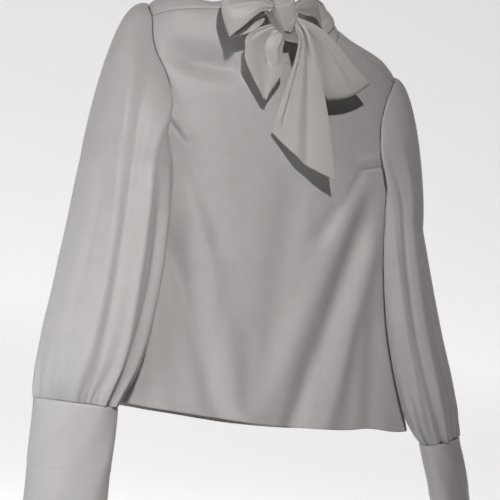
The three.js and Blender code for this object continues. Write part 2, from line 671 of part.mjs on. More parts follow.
// The cap parts from the body only little by little, sooner below the underarm
const capClearance = (t, low) => (
  clothWall + mix(armholeGap, sleeveClearance, ease(t * mix(1, 2.4, low))));

function hermite(p0, m0, p1, m1, t) {
  const t2 = t * t;
  const t3 = t2 * t;
  return new THREE.Vector3()
    .addScaledVector(p0, 2 * t3 - 3 * t2 + 1)
    .addScaledVector(m0, t3 - 2 * t2 + t)
    .addScaledVector(p1, 3 * t2 - 2 * t3)
    .addScaledVector(m1, t3 - t2);
}

// Directions evened out over the neighbours, so that the inner face doesn't cross at sharp turns
function softNormals(grid) {
  let now = grid;
  for (let pass = 0; pass < softPasses; pass += 1) {
    now = now.map((row, k) => row.map((v, i) => {
      const sum = v.clone().multiplyScalar(2);
      sum.add(row[(i + row.length - 1) % row.length]).add(row[(i + 1) % row.length]);
      if (k > 0) sum.add(now[k - 1][i]);
      if (k < now.length - 1) sum.add(now[k + 1][i]);
      return sum.length() < 0.5 ? v : sum.normalize();
    }));
  }
  return now;
}

function sleeveGeometry(rows, side) {
  const rings = sleeveRings(rows, side);
  const loop = armholeLoop(side);
  const inward = softNormals(gridNormals(rings, true, -side));
  inward[0] = rings[0].map((p, i) => {
    const low = underarmShare((i / sleeveCols) * 360 * deg);
    const q = side > 0 ? p : mirrorX(p);
    const away = q.clone().sub(loop[i]).normalize();
    const into = formGradient(q).normalize().multiplyScalar(-mix(1, 0.25, low));
    into.addScaledVector(away, mix(0.5, 1, low)).normalize();
    return side > 0 ? into : mirrorX(into);
  });
  return wallGeometry(rings, inward, clothWall, true);
}

// Cuffs: a band that laps over itself at the outer back
function cuffGrid(rows, side, lean) {
  const last = rows[rows.length - 1];
  const girthStart = cuffOpenAt * deg;
  const lapAngle = cuffLap / last.long;
  const turn = last.turn * deg;
  const into = new THREE.Vector2(-Math.cos(turn), -Math.sin(turn));
  const away = new THREE.Vector2(Math.sin(turn), -Math.cos(turn));
  return cuffLevels.map((level) => {
    const row = [];
    const down = level * cuffLength;
    for (let i = 0; i <= cuffSteps; i += 1) {
      const a = girthStart + (i / cuffSteps) * (360 * deg + lapAngle);
      const over = ease((i / cuffSteps * (360 * deg + lapAngle) - 300 * deg) / (50 * deg));
      const grow = 1.2 + over * (doubleWall + 0.6) - 1.5 * level;
      const dx = (last.long + grow) * Math.cos(a);
      const dy = -(last.short + grow) * Math.sin(a);
      const out = dx * into.x + dy * away.x;
      const y = last.y + dx * into.y + dy * away.y;
      const leanOut = Math.tan(lean * deg);
      const z = last.z - seamGap - down * Math.cos(lean * deg) + Math.tan(last.tilt * deg) * out;
      row.push(new THREE.Vector3(side * (last.out + out + down * leanOut), y, z));
    }
    return row;
  });
}

const cuffGeometry = (grid, side) => (
  wallGeometry(grid, gridNormals(grid, false, -side), doubleWall, false));

// Collar: a stand on the neckline, open at the centre back

function neckLoop() {
  const back = neckBackLine(neckCols).reverse();
  const front = neckFrontLine(neckCols);
  back[0].x = seamGap;
  const right = [...back, ...front.slice(1)];
  right[right.length - 1].x = 0;
  return [...right, ...right.slice(0, -1).reverse().map(mirrorX)];
}

// A place on the collar's outer face, level 0 at the neck seam and 1 at the top
function collarPoint(base, level) {
  return new THREE.Vector3(
    base.x * (1 - (collarLean / neckHalf) * level),
    base.y * (1 - collarDraw * level),
    base.z + collarHeight * level,
  );
}

function collarBase() {
  const loop = neckLoop();
  return loop.map((p, i) => {
    const next = loop[Math.min(i + 1, loop.length - 1)];
    const before = loop[Math.max(i - 1, 0)];
    const away = formGradient(p).cross(next.clone().sub(before)).normalize();
    if (away.dot(new THREE.Vector3(-p.x, -p.y, 60)) < 0) away.negate();
    return p.clone().addScaledVector(away, seamGap + 0.05);
  });
}

function collarGeometry() {
  const base = collarBase();
  const loop = neckLoop();
  const grid = collarLevels.map((level) => base.map((p) => collarPoint(p, level)));
  const inward = gridNormals(grid, false, 1);
  inward[0] = base.map((p, i) => {
    const away = p.clone().sub(loop[i]).normalize();
    return formGradient(loop[i]).normalize().negate().addScaledVector(away, 0.8).normalize();
  });
  return wallGeometry(grid, inward, doubleWall, false);
}

// Knot: an upright lump of gathered cloth, narrow below
function knotRing(level) {
  const z = mix(knot.bottom, knot.top, level);
  const round = readTable(knotRows, 'share', -level);
  const ring = [];
  for (let i = 0; i < knotCols; i += 1) {
    const a = (i / knotCols) * 360 * deg;
    const pleat = 1 + 0.05 * Math.cos(5 * a + 3 * level);
    const x = mix(knot.bottomX, knot.topX, level) + knot.halfWidth * round * pleat * Math.cos(a);
    const y = knot.y + knot.halfDepth * round * pleat * Math.sin(a);
    ring.push(new THREE.Vector3(x, y, z));
  }
  return ring;
}

function lumpGeometry(rings) {
  const cols = rings[0].length;
  const positions = [];
  const index = [];
  rings.forEach((ring) => ring.forEach((p) => positions.push(p.x, p.y, p.z)));
  const middle = (ring) => ring.reduce((sum, p) => sum.add(p), new THREE.Vector3()).divideScalar(cols);
  const low = middle(rings[0]);
  const high = middle(rings[rings.length - 1]);
  positions.push(low.x, low.y, low.z, high.x, high.y, high.z);
  const lowAt = rings.length * cols;
  const last = (rings.length - 1) * cols;
  for (let i = 0; i < cols; i += 1) {
    const n = (i + 1) % cols;
    for (let j = 0; j < rings.length - 1; j += 1) {
      const a = j * cols;
      index.push(a + i, a + n, a + cols + n, a + i, a + cols + n, a + cols + i);
    }
    index.push(lowAt, n, i, lowAt + 1, last + i, last + n);
  }
  return closedGeometry(positions, index);
}

// A tie piece from rows of its two edges, with soft pleats between them
function tieGeometry(rows, cols, steps) {
  const grid = [];
  for (let j = 0; j <= steps; j += 1) {
    const t = (j / steps) * (rows.length - 1);
    const row = [];
    for (let i = 0; i <= cols; i += 1) {
      const u = i / cols;
      const read = (column) => alongRows(rows, column, t);
      const y = read('y') - read('fold') * tiePleat(u);
      const x = mix(read('x1'), read('x2'), u) + read('bulgeX') * Math.sin(u * 180 * deg);
      const z = mix(read('z1'), read('z2'), u) + read('bulgeZ') * Math.sin(u * 180 * deg);
      row.push(new THREE.Vector3(x, y, z));
    }
    grid.push(row);
  }
  const inward = gridNormals(grid, false, 1);
  if (inward[0][0].y < 0) inward.forEach((row) => row.forEach((n) => n.negate()));
  return wallGeometry(grid, inward, doubleWall, false);
}

const tiePleat = (u) => 0.5 + 0.5 * Math.sin((u * 2.6 + 0.15) * 180 * deg);

// A smooth curve through evenly numbered rows
function alongRows(rows, column, t) {
  const at = (i) => rows[clamp(i, 0, rows.length - 1)][column];
  if (at(0) === undefined) return 0;
  const i = Math.min(Math.floor(t), rows.length - 2);
  const s = t - i;
  const m0 = (at(i + 1) - at(i - 1)) / 2;
  const m1 = (at(i + 2) - at(i)) / 2;
  return (2 * s ** 3 - 3 * s ** 2 + 1) * at(i) + (s ** 3 - 2 * s ** 2 + s) * m0
    + (3 * s ** 2 - 2 * s ** 3) * at(i + 1) + (s ** 3 - s ** 2) * m1;
}

// The tie's stretch round the collar, from the knot's left to its right
function tieNeckGeometry() {
  const base = collarBase();
  const faces = [0, 1].map((level) => base.map((p) => collarPoint(p, level)));
  const away = gridNormals(faces, false, -1);
  const place = (i, level) => {
    const p = faces[0][i].clone().lerp(faces[1][i], level);
    return p.addScaledVector(away[0][i], doubleWall + tieStandOff);
  };
  const round = [];
  for (let i = 0; i <= neckCols + tieFrontCols; i += 1) {
    const rise = tieRise * Math.max(0, i - neckCols);
    round.push([place(i, tieLow + rise), place(i, tieHigh + rise)]);
  }
  round[0].forEach((p) => { p.x = 0; });
  const stretch = (side, end) => {
    const [low, high] = [0, 1].map((k) => {
      const start = round[round.length - 1][k].clone();
      start.x *= side;
      return new THREE.CatmullRomCurve3([
        new THREE.Vector3(side * end.x[k], end.y, end.z[k]),
        ...end.via.map((v) => new THREE.Vector3(side * v.x, v.y, v.z + (k - 0.5) * v.tall)),
        start,
      ], false, 'centripetal').getSpacedPoints(tieStretchCols);
    });
    return low.map((p, i) => [p, high[i]]);
  };
  const left = stretch(-1, tieRootLeft).slice(0, -1);
  const right = stretch(1, tieRootRight).slice(0, -1).reverse();
  const leftRound = [...round].reverse().map((pair) => pair.map(mirrorX));
  const path = [...left, ...leftRound, ...round.slice(1), ...right];
  const grid = [0, 0.5, 1].map((u) => path.map(([low, high]) => low.clone().lerp(high, u)));
  const inward = gridNormals(grid, false, 1);
  return wallGeometry(grid, inward, doubleWall, false);
}

// A flat disc with softened edges, square to the cloth at a given place on it
function button(name, place, normal) {
  const rings = [[0.86, 0], [1, 0.25], [1, 0.75], [0.86, 1]].map(([share, height]) => {
    const ring = [];
    for (let i = 0; i < buttonSides; i += 1) {
      const a = (i / buttonSides) * 360 * deg;
      const radius = buttonRadius * share;
      ring.push(new THREE.Vector3(radius * Math.cos(a), radius * Math.sin(a), height * buttonThick));
    }
    return ring;
  });
  const mesh = cloth(name, lumpGeometry(rings), buttonColor);
  mesh.material.roughness = 0.3;
  mesh.position.copy(place).addScaledVector(normal, buttonStandOff);
  mesh.quaternion.setFromUnitVectors(new THREE.Vector3(0, 0, 1), normal);
  return mesh;
}

// On the lap of a cuff, near its outer edge
function cuffButtonPlace(grid, side, level) {
  const column = grid[0].length - 2;
  const at = (i) => grid[0][i].clone().lerp(grid[grid.length - 1][i], level);
  const along = at(column + 1).sub(at(column - 1));
  const down = grid[grid.length - 1][column].clone().sub(grid[0][column]);
  const normal = along.cross(down).normalize().multiplyScalar(side);
  return { point: at(column), normal };
}

// The neck button sits on the right back, just below the collar
function neckButton() {
  const place = backAt(neckButtonX, neckButtonZ);
  return button('button_neck', place, formGradient(place).normalize());
}

// A bar loop of thread, sewn to the left back and laid round the button
function loopGeometry() {
  const radius = buttonRadius + loopThick;
  const lift = new THREE.Vector3(0, loopThick / 2 + buttonStandOff, 0);
  const laid = (x, z) => backAt(x, neckButtonZ + z).add(lift);
  const points = [];
  for (let i = 0; i <= loopSteps; i += 1) {
    const a = mix(-loopHalfTurn, loopHalfTurn, i / loopSteps) * deg;
    points.push(laid(neckButtonX + radius * Math.cos(a), radius * Math.sin(a)));
  }
  const foot = radius * Math.sin(loopHalfTurn * deg);
  const path = new THREE.CatmullRomCurve3([laid(-loopFoot, -foot), ...points, laid(-loopFoot, foot)]);
  const steps = loopSteps * 2;
  const frames = path.computeFrenetFrames(steps);
  const rings = [];
  for (let i = 0; i <= steps; i += 1) {
    const centre = path.getPointAt(i / steps);
    rings.push([0, 1, 2, 3, 4, 5].map((k) => {
      const a = k * 60 * deg;
      return centre.clone()
        .addScaledVector(frames.normals[i], (loopThick / 2) * Math.cos(a))
        .addScaledVector(frames.binormals[i], (loopThick / 2) * Math.sin(a));
    }));
  }
  return lumpGeometry(rings);
}

const blouse = new THREE.Group();
blouse.add(cloth('front', frontPanel(), crepeColor));
blouse.add(cloth('back_left', backPanel(-1), crepeColor));
blouse.add(cloth('back_right', backPanel(1), crepeColor));
blouse.add(cloth('sleeve_left', sleeveGeometry(sleeveRowsLeft, -1), crepeColor));
blouse.add(cloth('sleeve_right', sleeveGeometry(sleeveRowsRight, 1), crepeColor));
[['left', sleeveRowsLeft, -1, cuffLeanLeft], ['right', sleeveRowsRight, 1, cuffLeanRight]].forEach(
  ([name, rows, side, lean]) => {
    const grid = cuffGrid(rows, side, lean);
    blouse.add(cloth(`cuff_${name}`, cuffGeometry(grid, side), crepeColor));
    [0, 1, 2].forEach((k) => {
      const place = cuffButtonPlace(grid, side, cuffButtonLevels[k]);
      blouse.add(button(`button_cuff_${name}_${k + 1}`, place.point, place.normal));
    });
  },
);

blouse.add(cloth('collar', collarGeometry(), crepeColor));
blouse.add(neckButton());
blouse.add(cloth('loop_neck', loopGeometry(), tieColor));
blouse.add(cloth('tie_knot', lumpGeometry(knotLevels.map((level) => knotRing(level))), tieColor));
blouse.add(cloth('tie_neck', tieNeckGeometry(), tieColor));
blouse.add(cloth('tie_loop_left', tieGeometry(loopLeft, 6, 16), tieColor));
blouse.add(cloth('tie_loop_right', tieGeometry(loopRight, 6, 16), tieColor));
blouse.add(cloth('tie_tail_left', tieGeometry(tailLeft, 8, 12), tieColor));
blouse.add(cloth('tie_tail_right', tieGeometry(tailRight, 8, 16), tieColor));

export default blouse;
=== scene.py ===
import bpy
import math
import numpy as np
from mathutils import Matrix, Vector


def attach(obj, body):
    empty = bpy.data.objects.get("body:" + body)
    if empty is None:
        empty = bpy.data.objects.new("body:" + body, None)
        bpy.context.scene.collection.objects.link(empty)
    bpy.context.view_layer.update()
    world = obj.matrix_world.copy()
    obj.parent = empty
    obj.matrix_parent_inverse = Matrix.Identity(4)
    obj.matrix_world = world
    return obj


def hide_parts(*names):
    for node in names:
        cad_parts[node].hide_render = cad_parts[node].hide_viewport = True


# A blouse with a tied neck bow, hanging filled out and empty.
# Tables are in millimetres in the part's own frame: front to -Y, up +Z, left is -X.
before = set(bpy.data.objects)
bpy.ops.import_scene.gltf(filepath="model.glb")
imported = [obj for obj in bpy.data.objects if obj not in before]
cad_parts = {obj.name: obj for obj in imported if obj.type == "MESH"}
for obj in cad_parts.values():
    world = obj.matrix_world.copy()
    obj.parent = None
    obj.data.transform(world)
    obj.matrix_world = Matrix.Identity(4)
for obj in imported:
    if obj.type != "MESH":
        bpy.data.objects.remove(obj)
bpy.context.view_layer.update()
print("frame loaded")

metre = 0.001


# Rows of a table as dictionaries, with the names of their columns given first.
def table(names, *rows):
    return [dict(zip(names.split(), row)) for row in rows]


# Camera
cameraSettings = {"place": (-0.420, -1.104, -0.524), "yaw": 20.9, "pitch": 9.3, "roll": 7.3,
                  "lens": 64.8, "sensor": 36, "clipEnd": 50}


def addCamera(settings):
    yaw, pitch, roll = (math.radians(settings[k]) for k in ("yaw", "pitch", "roll"))
    forward = Vector((math.sin(yaw) * math.cos(pitch), math.cos(yaw) * math.cos(pitch), math.sin(pitch)))
    level = Vector((math.cos(yaw), -math.sin(yaw), 0))
    upright = level.cross(forward)
    right = math.cos(roll) * level + math.sin(roll) * upright
    up = -math.sin(roll) * level + math.cos(roll) * upright
    camera = bpy.data.objects.new("camera", bpy.data.cameras.new("camera"))
    camera.data.lens = settings["lens"]
    camera.data.sensor_width = settings["sensor"]
    camera.matrix_world = Matrix((
        (right.x, up.x, -forward.x, settings["place"][0]),
        (right.y, up.y, -forward.y, settings["place"][1]),
        (right.z, up.z, -forward.z, settings["place"][2]),
        (0, 0, 0, 1)))
    camera.data.clip_end = settings["clipEnd"]
    bpy.context.collection.objects.link(camera)
    bpy.context.scene.camera = camera


addCamera(cameraSettings)
print("camera set")

# The body's form
bodyForm = {
    "power": 2.5,
    "rows": table("z half front back",
        (40, 20, 38, 36),
        (0, 77, 45, 42),
        (-17, 113, 48, 45),
        (-34, 169, 52, 48),
        (-58, 190, 56, 51),
        (-100, 200, 59, 55),
        (-160, 209, 63, 58),
        (-225, 215, 66, 61),
        (-330, 219, 67, 62),
        (-413, 227, 67, 63),
        (-463, 239, 67, 63),
        (-519, 254, 68, 64),
        (-600, 282, 69, 65),),
    "neckHalf": 77, "neckSeamTurn": 17, "neckDropFront": 87, "neckDropBack": 12, "underarmZ": -225,
    "hemFrontZ": -552, "hemSideZ": -539, "hemBackZ": -557,
    "hemWavesFront": table("x lift breadth", (168, 5, 26), (30, -2, 60)),
    "hemWavesBack": table("x lift breadth", (60, -4, 90)),
    # tips of the shoulders, and the ridge just behind them; the two fronts hang differently
    "tip": {1: {"x": 172, "z": -64, "ridgeX": 184}, -1: {"x": 182, "z": -73, "ridgeX": 190}},
    "leftShoulderRise": 12,
    "armholeFront": {
        1: table("z x", (-219, 208), (-204, 186), (-186, 163), (-155, 152), (-125, 153), (-92, 161)),
        -1: table("z x", (-219, 208), (-205, 186), (-189, 163), (-168, 150), (-152, 153), (-139, 159),
                  (-119, 172), (-103, 178)),
    },
    "armholeBack": table("z x", (-217, 207), (-198, 188), (-168, 173), (-130, 169), (-92, 173), (-60, 179)),
}


def ease(t):
    s = np.clip(t, 0, 1)
    return s * s * (3 - 2 * s)


def mix(a, b, t):
    return a + (b - a) * t


# From a to b with these tangents at the ends.
def bend(a, fromA, b, intoB, t):
    return ((2 * t**3 - 3 * t**2 + 1) * a + (t**3 - 2 * t**2 + t) * fromA
            + (3 * t**2 - 2 * t**3) * b + (t**3 - t**2) * intoB)


# A smooth curve without overshoot through one column, read at the heights z.
def readTable(rows, name, z):
    heights = np.array([row["z"] for row in rows], float)
    values = np.array([row[name] for row in rows], float)
    slope = np.diff(values) / np.diff(heights)
    before, after = slope[:-1], slope[1:]
    total = np.where(before + after == 0, 1, before + after)
    inner = np.where(before * after <= 0, 0, 2 * before * after / total)
    tangent = np.concatenate([slope[:1], inner, slope[-1:]])
    z = np.clip(np.asarray(z, float), heights[-1], heights[0])
    i = np.clip(np.searchsorted(-heights, -z, side="right") - 1, 0, len(heights) - 2)
    span = heights[i + 1] - heights[i]
    t = (z - heights[i]) / span
    return bend(values[i], span * tangent[i], values[i + 1], span * tangent[i + 1], t)


def formRatio(p):
    half = readTable(bodyForm["rows"], "half", p[..., 2])
    depth = np.where(p[..., 1] < 0, readTable(bodyForm["rows"], "front", p[..., 2]),
                     readTable(bodyForm["rows"], "back", p[..., 2]))
    power = bodyForm["power"]
    return (np.abs(p[..., 0] / half) ** power + np.abs(p[..., 1] / depth) ** power) ** (1 / power)


def formGradient(p):
    step = 0.05
    parts = []
    for axis in range(3):
        move = np.zeros(3)
        move[axis] = step
        parts.append((formRatio(p + move) - formRatio(p - move)) / (2 * step))
    return np.stack(parts, axis=-1)


def unit(v):
    return v / np.maximum(np.linalg.norm(v, axis=-1, keepdims=True), 1e-9)


# The nearest places on the form, scaled by ratio.
def seat(p, ratio=1.0, steps=7):
    q = np.array(p, float)
    for _ in range(steps):
        g = formGradient(q)
        q = q - g * ((formRatio(q) - ratio) / np.sum(g * g, axis=-1))[..., None]
    return q


def faceAt(x, z, column):
    half = readTable(bodyForm["rows"], "half", z)
    depth = readTable(bodyForm["rows"], column, z)
    power = bodyForm["power"]
    y = depth * np.maximum(0, 1 - np.abs(x / half) ** power) ** (1 / power)
    return np.stack([x + 0 * y, -y if column == "front" else y, z + 0 * y], axis=-1)


# Centripetal curve through the points, as a dense line.
def smoothCurve(points, dense=80):
    p = np.array(points, float)
    p = np.vstack([2 * p[0] - p[1], p, 2 * p[-1] - p[-2]])
    t = np.linspace(0, 1, dense, endpoint=False)[:, None]
    parts = []
    for i in range(1, len(p) - 2):
        d0, d1, d2 = (max(np.linalg.norm(p[i + k] - p[i + k - 1]) ** 0.5, 1e-4) for k in (0, 1, 2))
        m1 = ((p[i] - p[i - 1]) / d0 - (p[i + 1] - p[i - 1]) / (d0 + d1) + (p[i + 1] - p[i]) / d1) * d1
        m2 = ((p[i + 1] - p[i]) / d1 - (p[i + 2] - p[i]) / (d1 + d2) + (p[i + 2] - p[i + 1]) / d2) * d1
        parts.append(bend(p[i], m1, p[i + 1], m2, t))
    return np.vstack([*parts, p[-2][None]])


# Places on a line at these shares of its length.
def alongLine(line, shares):
    steps = np.linalg.norm(np.diff(line, axis=0), axis=1)
    run = np.concatenate([[0], np.cumsum(steps)])
    at = np.asarray(shares, float) * run[-1]
    return np.stack([np.interp(at, run, line[:, k]) for k in range(3)], axis=-1)


# Names of the piece and of the solid for this side.
def sided(piece, node, side):
    return (piece + "Right", node + "_right") if side > 0 else (piece + "Left", node + "_left")


def mirrored(p):
    return p * np.array([-1.0, 1.0, 1.0])


# On the front neckline, from 0 degrees at the ridge to 90 at the centre front.
def neckPlace(degrees):
    a = math.radians(degrees)
    return seat(np.array([bodyForm["neckHalf"] * math.cos(a), -30 - 30 * math.sin(a),
                          -bodyForm["neckDropFront"] * math.sin(a)]))


underarm = np.array([readTable(bodyForm["rows"], "half", bodyForm["underarmZ"]), 0.0, bodyForm["underarmZ"]])


# Seam lines with x above 0; those of the left, side -1, are mirrored later.
def seamLines(side):
    tip = bodyForm["tip"][side]
    shoulderTip = faceAt(tip["x"], tip["z"], "front")
    shoulderNeck = neckPlace(bodyForm["neckSeamTurn"])
    middle = seat((shoulderNeck + shoulderTip) / 2)
    front = [neckPlace(mix(bodyForm["neckSeamTurn"], 90, i / 6)) for i in range(7)]
    back = [shoulderNeck]
    for spot in ((76.5, -30, -8), (bodyForm["neckHalf"], -3, 0), (76, 24, -2), (60, 40, -7), (32, 43, -11)):
        back.append(seat(np.array(spot, float)))
    back.append(faceAt(0, -bodyForm["neckDropBack"], "back"))
    armFront = [faceAt(r["x"], r["z"], "front") for r in bodyForm["armholeFront"][side]]
    armBack = [faceAt(r["x"], r["z"], "back") for r in bodyForm["armholeBack"]]
    ridge = [seat(np.array([tip["ridgeX"] - 1.0, 24, -44])), seat(np.array([tip["ridgeX"], 0.0, -37]))]
    made = {"shoulder": [shoulderNeck, middle, shoulderTip], "neckFront": front, "neckBack": back,
            "armFront": [underarm, *armFront, shoulderTip],
            "armBack": [underarm, *armBack, *ridge, shoulderTip]}
    return {name: seat(smoothCurve(points)) for name, points in made.items()}


seams = {side: seamLines(side) for side in (-1, 1)}


# The left shoulder is held a little higher than the right.
def lifted(p):
    rise = bodyForm["leftShoulderRise"] * ease((-p[..., 0] - 95) / 85) * ease((p[..., 2] + 210) / 140)
    return np.stack([p[..., 0], p[..., 1], p[..., 2] + rise], axis=-1)


# The hem from the middle, at 0, to the side seam, at 90 degrees.
def hemLine(angles, back, side):
    a = np.radians(angles)
    x = side * readTable(bodyForm["rows"], "half", bodyForm["hemSideZ"]) * np.sin(a)
    waves = bodyForm["hemWavesBack" if back else "hemWavesFront"]
    wave = sum(w["lift"] * np.exp(-(((x - w["x"]) / w["breadth"]) ** 2)) for w in waves)
    level = mix(bodyForm["hemBackZ"] if back else bodyForm["hemFrontZ"], bodyForm["hemSideZ"], np.sin(a) ** 2)
    z = level + wave * np.cos(a)
    power = bodyForm["power"]
    turn = (np.sin(a) ** power + np.maximum(np.cos(a), 0) ** power) ** (-1 / power)
    half = readTable(bodyForm["rows"], "half", z)
    depth = readTable(bodyForm["rows"], "back" if back else "front", z)
    return np.stack([half * np.sin(a) * turn, (1 if back else -1) * depth * np.cos(a) * turn, z], axis=-1)


# Meshes from grids
def gridNormals(grid, closed=False):
    across = (np.roll(grid, -1, axis=1) - np.roll(grid, 1, axis=1)) if closed else np.gradient(grid, axis=1)
    return unit(np.cross(across, np.gradient(grid, axis=0)))


# Wall directions of a grid, turned to agree with the directions given.
def facing(grid, toward, closed=False):
    normals = gridNormals(grid, closed)
    return -normals if np.sum(normals * toward) < 0 else normals


# Cloth length along the rows and up the columns of a grid.
def clothRuns(grid):
    across = np.linalg.norm(np.diff(grid, axis=1), axis=2)
    up = np.linalg.norm(np.diff(grid, axis=0), axis=2)
    runU = np.concatenate([np.zeros((grid.shape[0], 1)), np.cumsum(across, axis=1)], axis=1)
    runV = np.concatenate([np.zeros((1, grid.shape[1])), np.cumsum(up, axis=0)], axis=0)
    return runU, runV


# A sheet from a grid of points, its faces turned outwards, with a UV map in metres of cloth.
def gridObject(name, grid, closed, material, slotName, outward):
    rows, cols = grid.shape[:2]
    normals = gridNormals(grid, closed)
    flip = np.sum(normals * outward) < 0
    verts = lifted(grid).reshape(-1, 3) * metre
    j, i = np.meshgrid(np.arange(rows - 1), np.arange(cols if closed else cols - 1), indexing="ij")
    n = (i + 1) % cols
    corners = (j * cols + i, j * cols + n, (j + 1) * cols + n, (j + 1) * cols + i)
    quads = np.stack(corners, axis=-1).reshape(-1, 4)
    if flip:
        quads = quads[:, ::-1]
    mesh = bpy.data.meshes.new(name)
    mesh.from_pydata(verts.tolist(), [], quads.tolist())
    mesh.update()
    runU, runV = clothRuns(grid)
    if closed:
        last = runU[:, -1] + np.linalg.norm(grid[:, 0] - grid[:, -1], axis=1)
    runV = np.repeat(runV.mean(axis=1)[:, None], cols, axis=1)
    runU = runU - runU.mean(axis=1)[:, None]
    u, v = runU.ravel() * metre, runV.ravel() * metre
    layer = mesh.uv_layers.new(name="cloth")
    loops = np.zeros(len(mesh.loops), int)
    mesh.loops.foreach_get("vertex_index", loops)
    uv = np.stack([u[loops], v[loops]], axis=-1)
    if closed:
        loopU = uv[:, 0].reshape(-1, 4)
        edge = np.repeat((i.ravel() == cols - 1)[:, None], 4, axis=1)
        onFirst = (loops.reshape(-1, 4) % cols) == 0
        ring = loops.reshape(-1, 4) // cols
        seamU = u.reshape(rows, cols)[:, 0][ring] + last[ring] * metre
        uv[:, 0] = np.where(edge & onFirst, seamU, loopU).ravel()
    layer.data.foreach_set("uv", uv.ravel())
    mesh.shade_smooth()
    made = bpy.data.objects.new(name, mesh)
    bpy.context.collection.objects.link(made)
    made.data.materials.append(material)
    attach(made, "root")
    return made


# A piece of cloth that takes the place of a solid, its wall towards the inside.
def clothPiece(name, node, grid, closed, outward, cloth, wall):
    piece = gridObject(name, grid, closed, *cloth, outward)
    solid = piece.modifiers.new("thickness", "SOLIDIFY")
    solid.thickness = wall * metre
    solid.offset = -1
    solid.use_even_offset = False
    solid.use_rim = True
    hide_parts(node)


# Height of the folds over each place: a line from (x1, z1) to (x2, z2), half-breadth and depth.
def creased(p, folds):
    total = np.zeros(p.shape[:-1])
    for f in folds:
        dx, dz = f["x2"] - f["x1"], f["z2"] - f["z1"]
        length = math.hypot(dx, dz)
        t = ((p[..., 0] - f["x1"]) * dx + (p[..., 2] - f["z1"]) * dz) / length**2
        side = ((p[..., 0] - f["x1"]) * dz - (p[..., 2] - f["z1"]) * dx) / length
        side = side + f.get("bow", 0) * np.sin(np.clip(t, 0, 1) * math.pi)
        fade = ease((t + 0.12) / 0.3)
        if f.get("ends", f["breadth"] <= 10):
            fade = fade * ease((1.1 - t) / 0.3)
        total += f["depth"] * fade * np.exp(-((side / f["breadth"]) ** 2))
    return total


# Materials
clothLook = {
    "body": {"color": (0.64, 0.615, 0.612), "dark": (0.61, 0.585, 0.58), "roughness": 0.46, "sheen": 0.2},
    "tie": {"color": (0.68, 0.655, 0.62), "dark": (0.65, 0.625, 0.59), "roughness": 0.42, "sheen": 0.2},
    "grainPerMetre": 1500, "wavePerMetre": 42, "grainHeight": 0.00006,
}


# Values for the inputs of a node, by name or number.
def fill(node, values):
    for name, value in values.items():
        node.inputs[name].default_value = value


# New nodes of a tree by name, beside those it has, and the links between their sockets.
def wire(tree, kinds, joins, present=()):
    made = {name: tree.nodes.new(kind) for name, kind in kinds.items()}
    made.update(present)
    for source, out, target, into in joins:
        tree.links.new(made[source].outputs[out], made[target].inputs[into])
    return made


def newMaterial(name):
    made = bpy.data.materials.new(name)
    made.use_nodes = True
    return made, made.node_tree.nodes["Principled BSDF"]


# Fine pebbled grain of crepe and slow variation of tone, from the cloth's own UV map.
def crepeGrainGroup():
    group = bpy.data.node_groups.new("crepeGrain", "ShaderNodeTree")
    sockets = {"Grain Scale": "INPUT", "Tone Scale": "INPUT", "Grain Height": "OUTPUT", "Tone": "OUTPUT"}
    for name, way in sockets.items():
        group.interface.new_socket(name, in_out=way, socket_type="NodeSocketFloat")
    made = wire(group, {
        "given": "NodeGroupInput", "result": "NodeGroupOutput", "uv": "ShaderNodeUVMap",
        "grain": "ShaderNodeTexNoise", "stretch": "ShaderNodeMapping", "yarn": "ShaderNodeTexNoise",
        "tone": "ShaderNodeTexNoise", "mixed": "ShaderNodeMix",
    }, (
        ("uv", "UV", "grain", "Vector"), ("uv", "UV", "stretch", "Vector"),
        ("stretch", "Vector", "yarn", "Vector"),
        ("uv", "UV", "tone", "Vector"), ("given", "Grain Scale", "grain", "Scale"),
        ("given", "Grain Scale", "yarn", "Scale"), ("given", "Tone Scale", "tone", "Scale"),
        ("grain", "Fac", "mixed", "A"), ("yarn", "Fac", "mixed", "B"),
        ("mixed", "Result", "result", "Grain Height"), ("tone", "Fac", "result", "Tone"),
    ))
    made["uv"].uv_map = "cloth"
    fill(made["grain"], {"Detail": 3, "Roughness": 0.6})
    fill(made["stretch"], {"Scale": (1.0, 0.45, 1.0)})
    fill(made["yarn"], {"Detail": 2})
    fill(made["tone"], {"Detail": 4})
    fill(made["mixed"], {"Factor": 0.4})
    return group


crepeGrain = crepeGrainGroup()


def clothMaterial(name, look):
    made, shader = newMaterial(name)
    fill(shader, {"Sheen Weight": look["sheen"], "Sheen Roughness": 0.45, "Specular IOR Level": 0.35,
                  "Anisotropic": 0.3})
    nodes = wire(made.node_tree, {
        "grain": "ShaderNodeGroup", "ramp": "ShaderNodeValToRGB", "rough": "ShaderNodeMapRange",
        "bump": "ShaderNodeBump",
    }, ())
    nodes["grain"].node_tree = crepeGrain
    wire(made.node_tree, {}, (
        ("grain", "Tone", "ramp", "Fac"), ("ramp", "Color", "shader", "Base Color"),
        ("grain", "Tone", "rough", "Value"), ("rough", "Result", "shader", "Roughness"),
        ("grain", "Grain Height", "bump", "Height"), ("bump", "Normal", "shader", "Normal"),
    ), {**nodes, "shader": shader})
    fill(nodes["grain"], {"Grain Scale": clothLook["grainPerMetre"], "Tone Scale": clothLook["wavePerMetre"]})
    fill(nodes["rough"], {"To Min": look["roughness"] - 0.04, "To Max": look["roughness"] + 0.06})
    fill(nodes["bump"], {"Strength": 0.35, "Distance": clothLook["grainHeight"]})
    low, high = nodes["ramp"].color_ramp.elements
    low.position, low.color = 0.25, (*look["dark"], 1)
    high.position, high.color = 0.6, (*look["color"], 1)
    return made


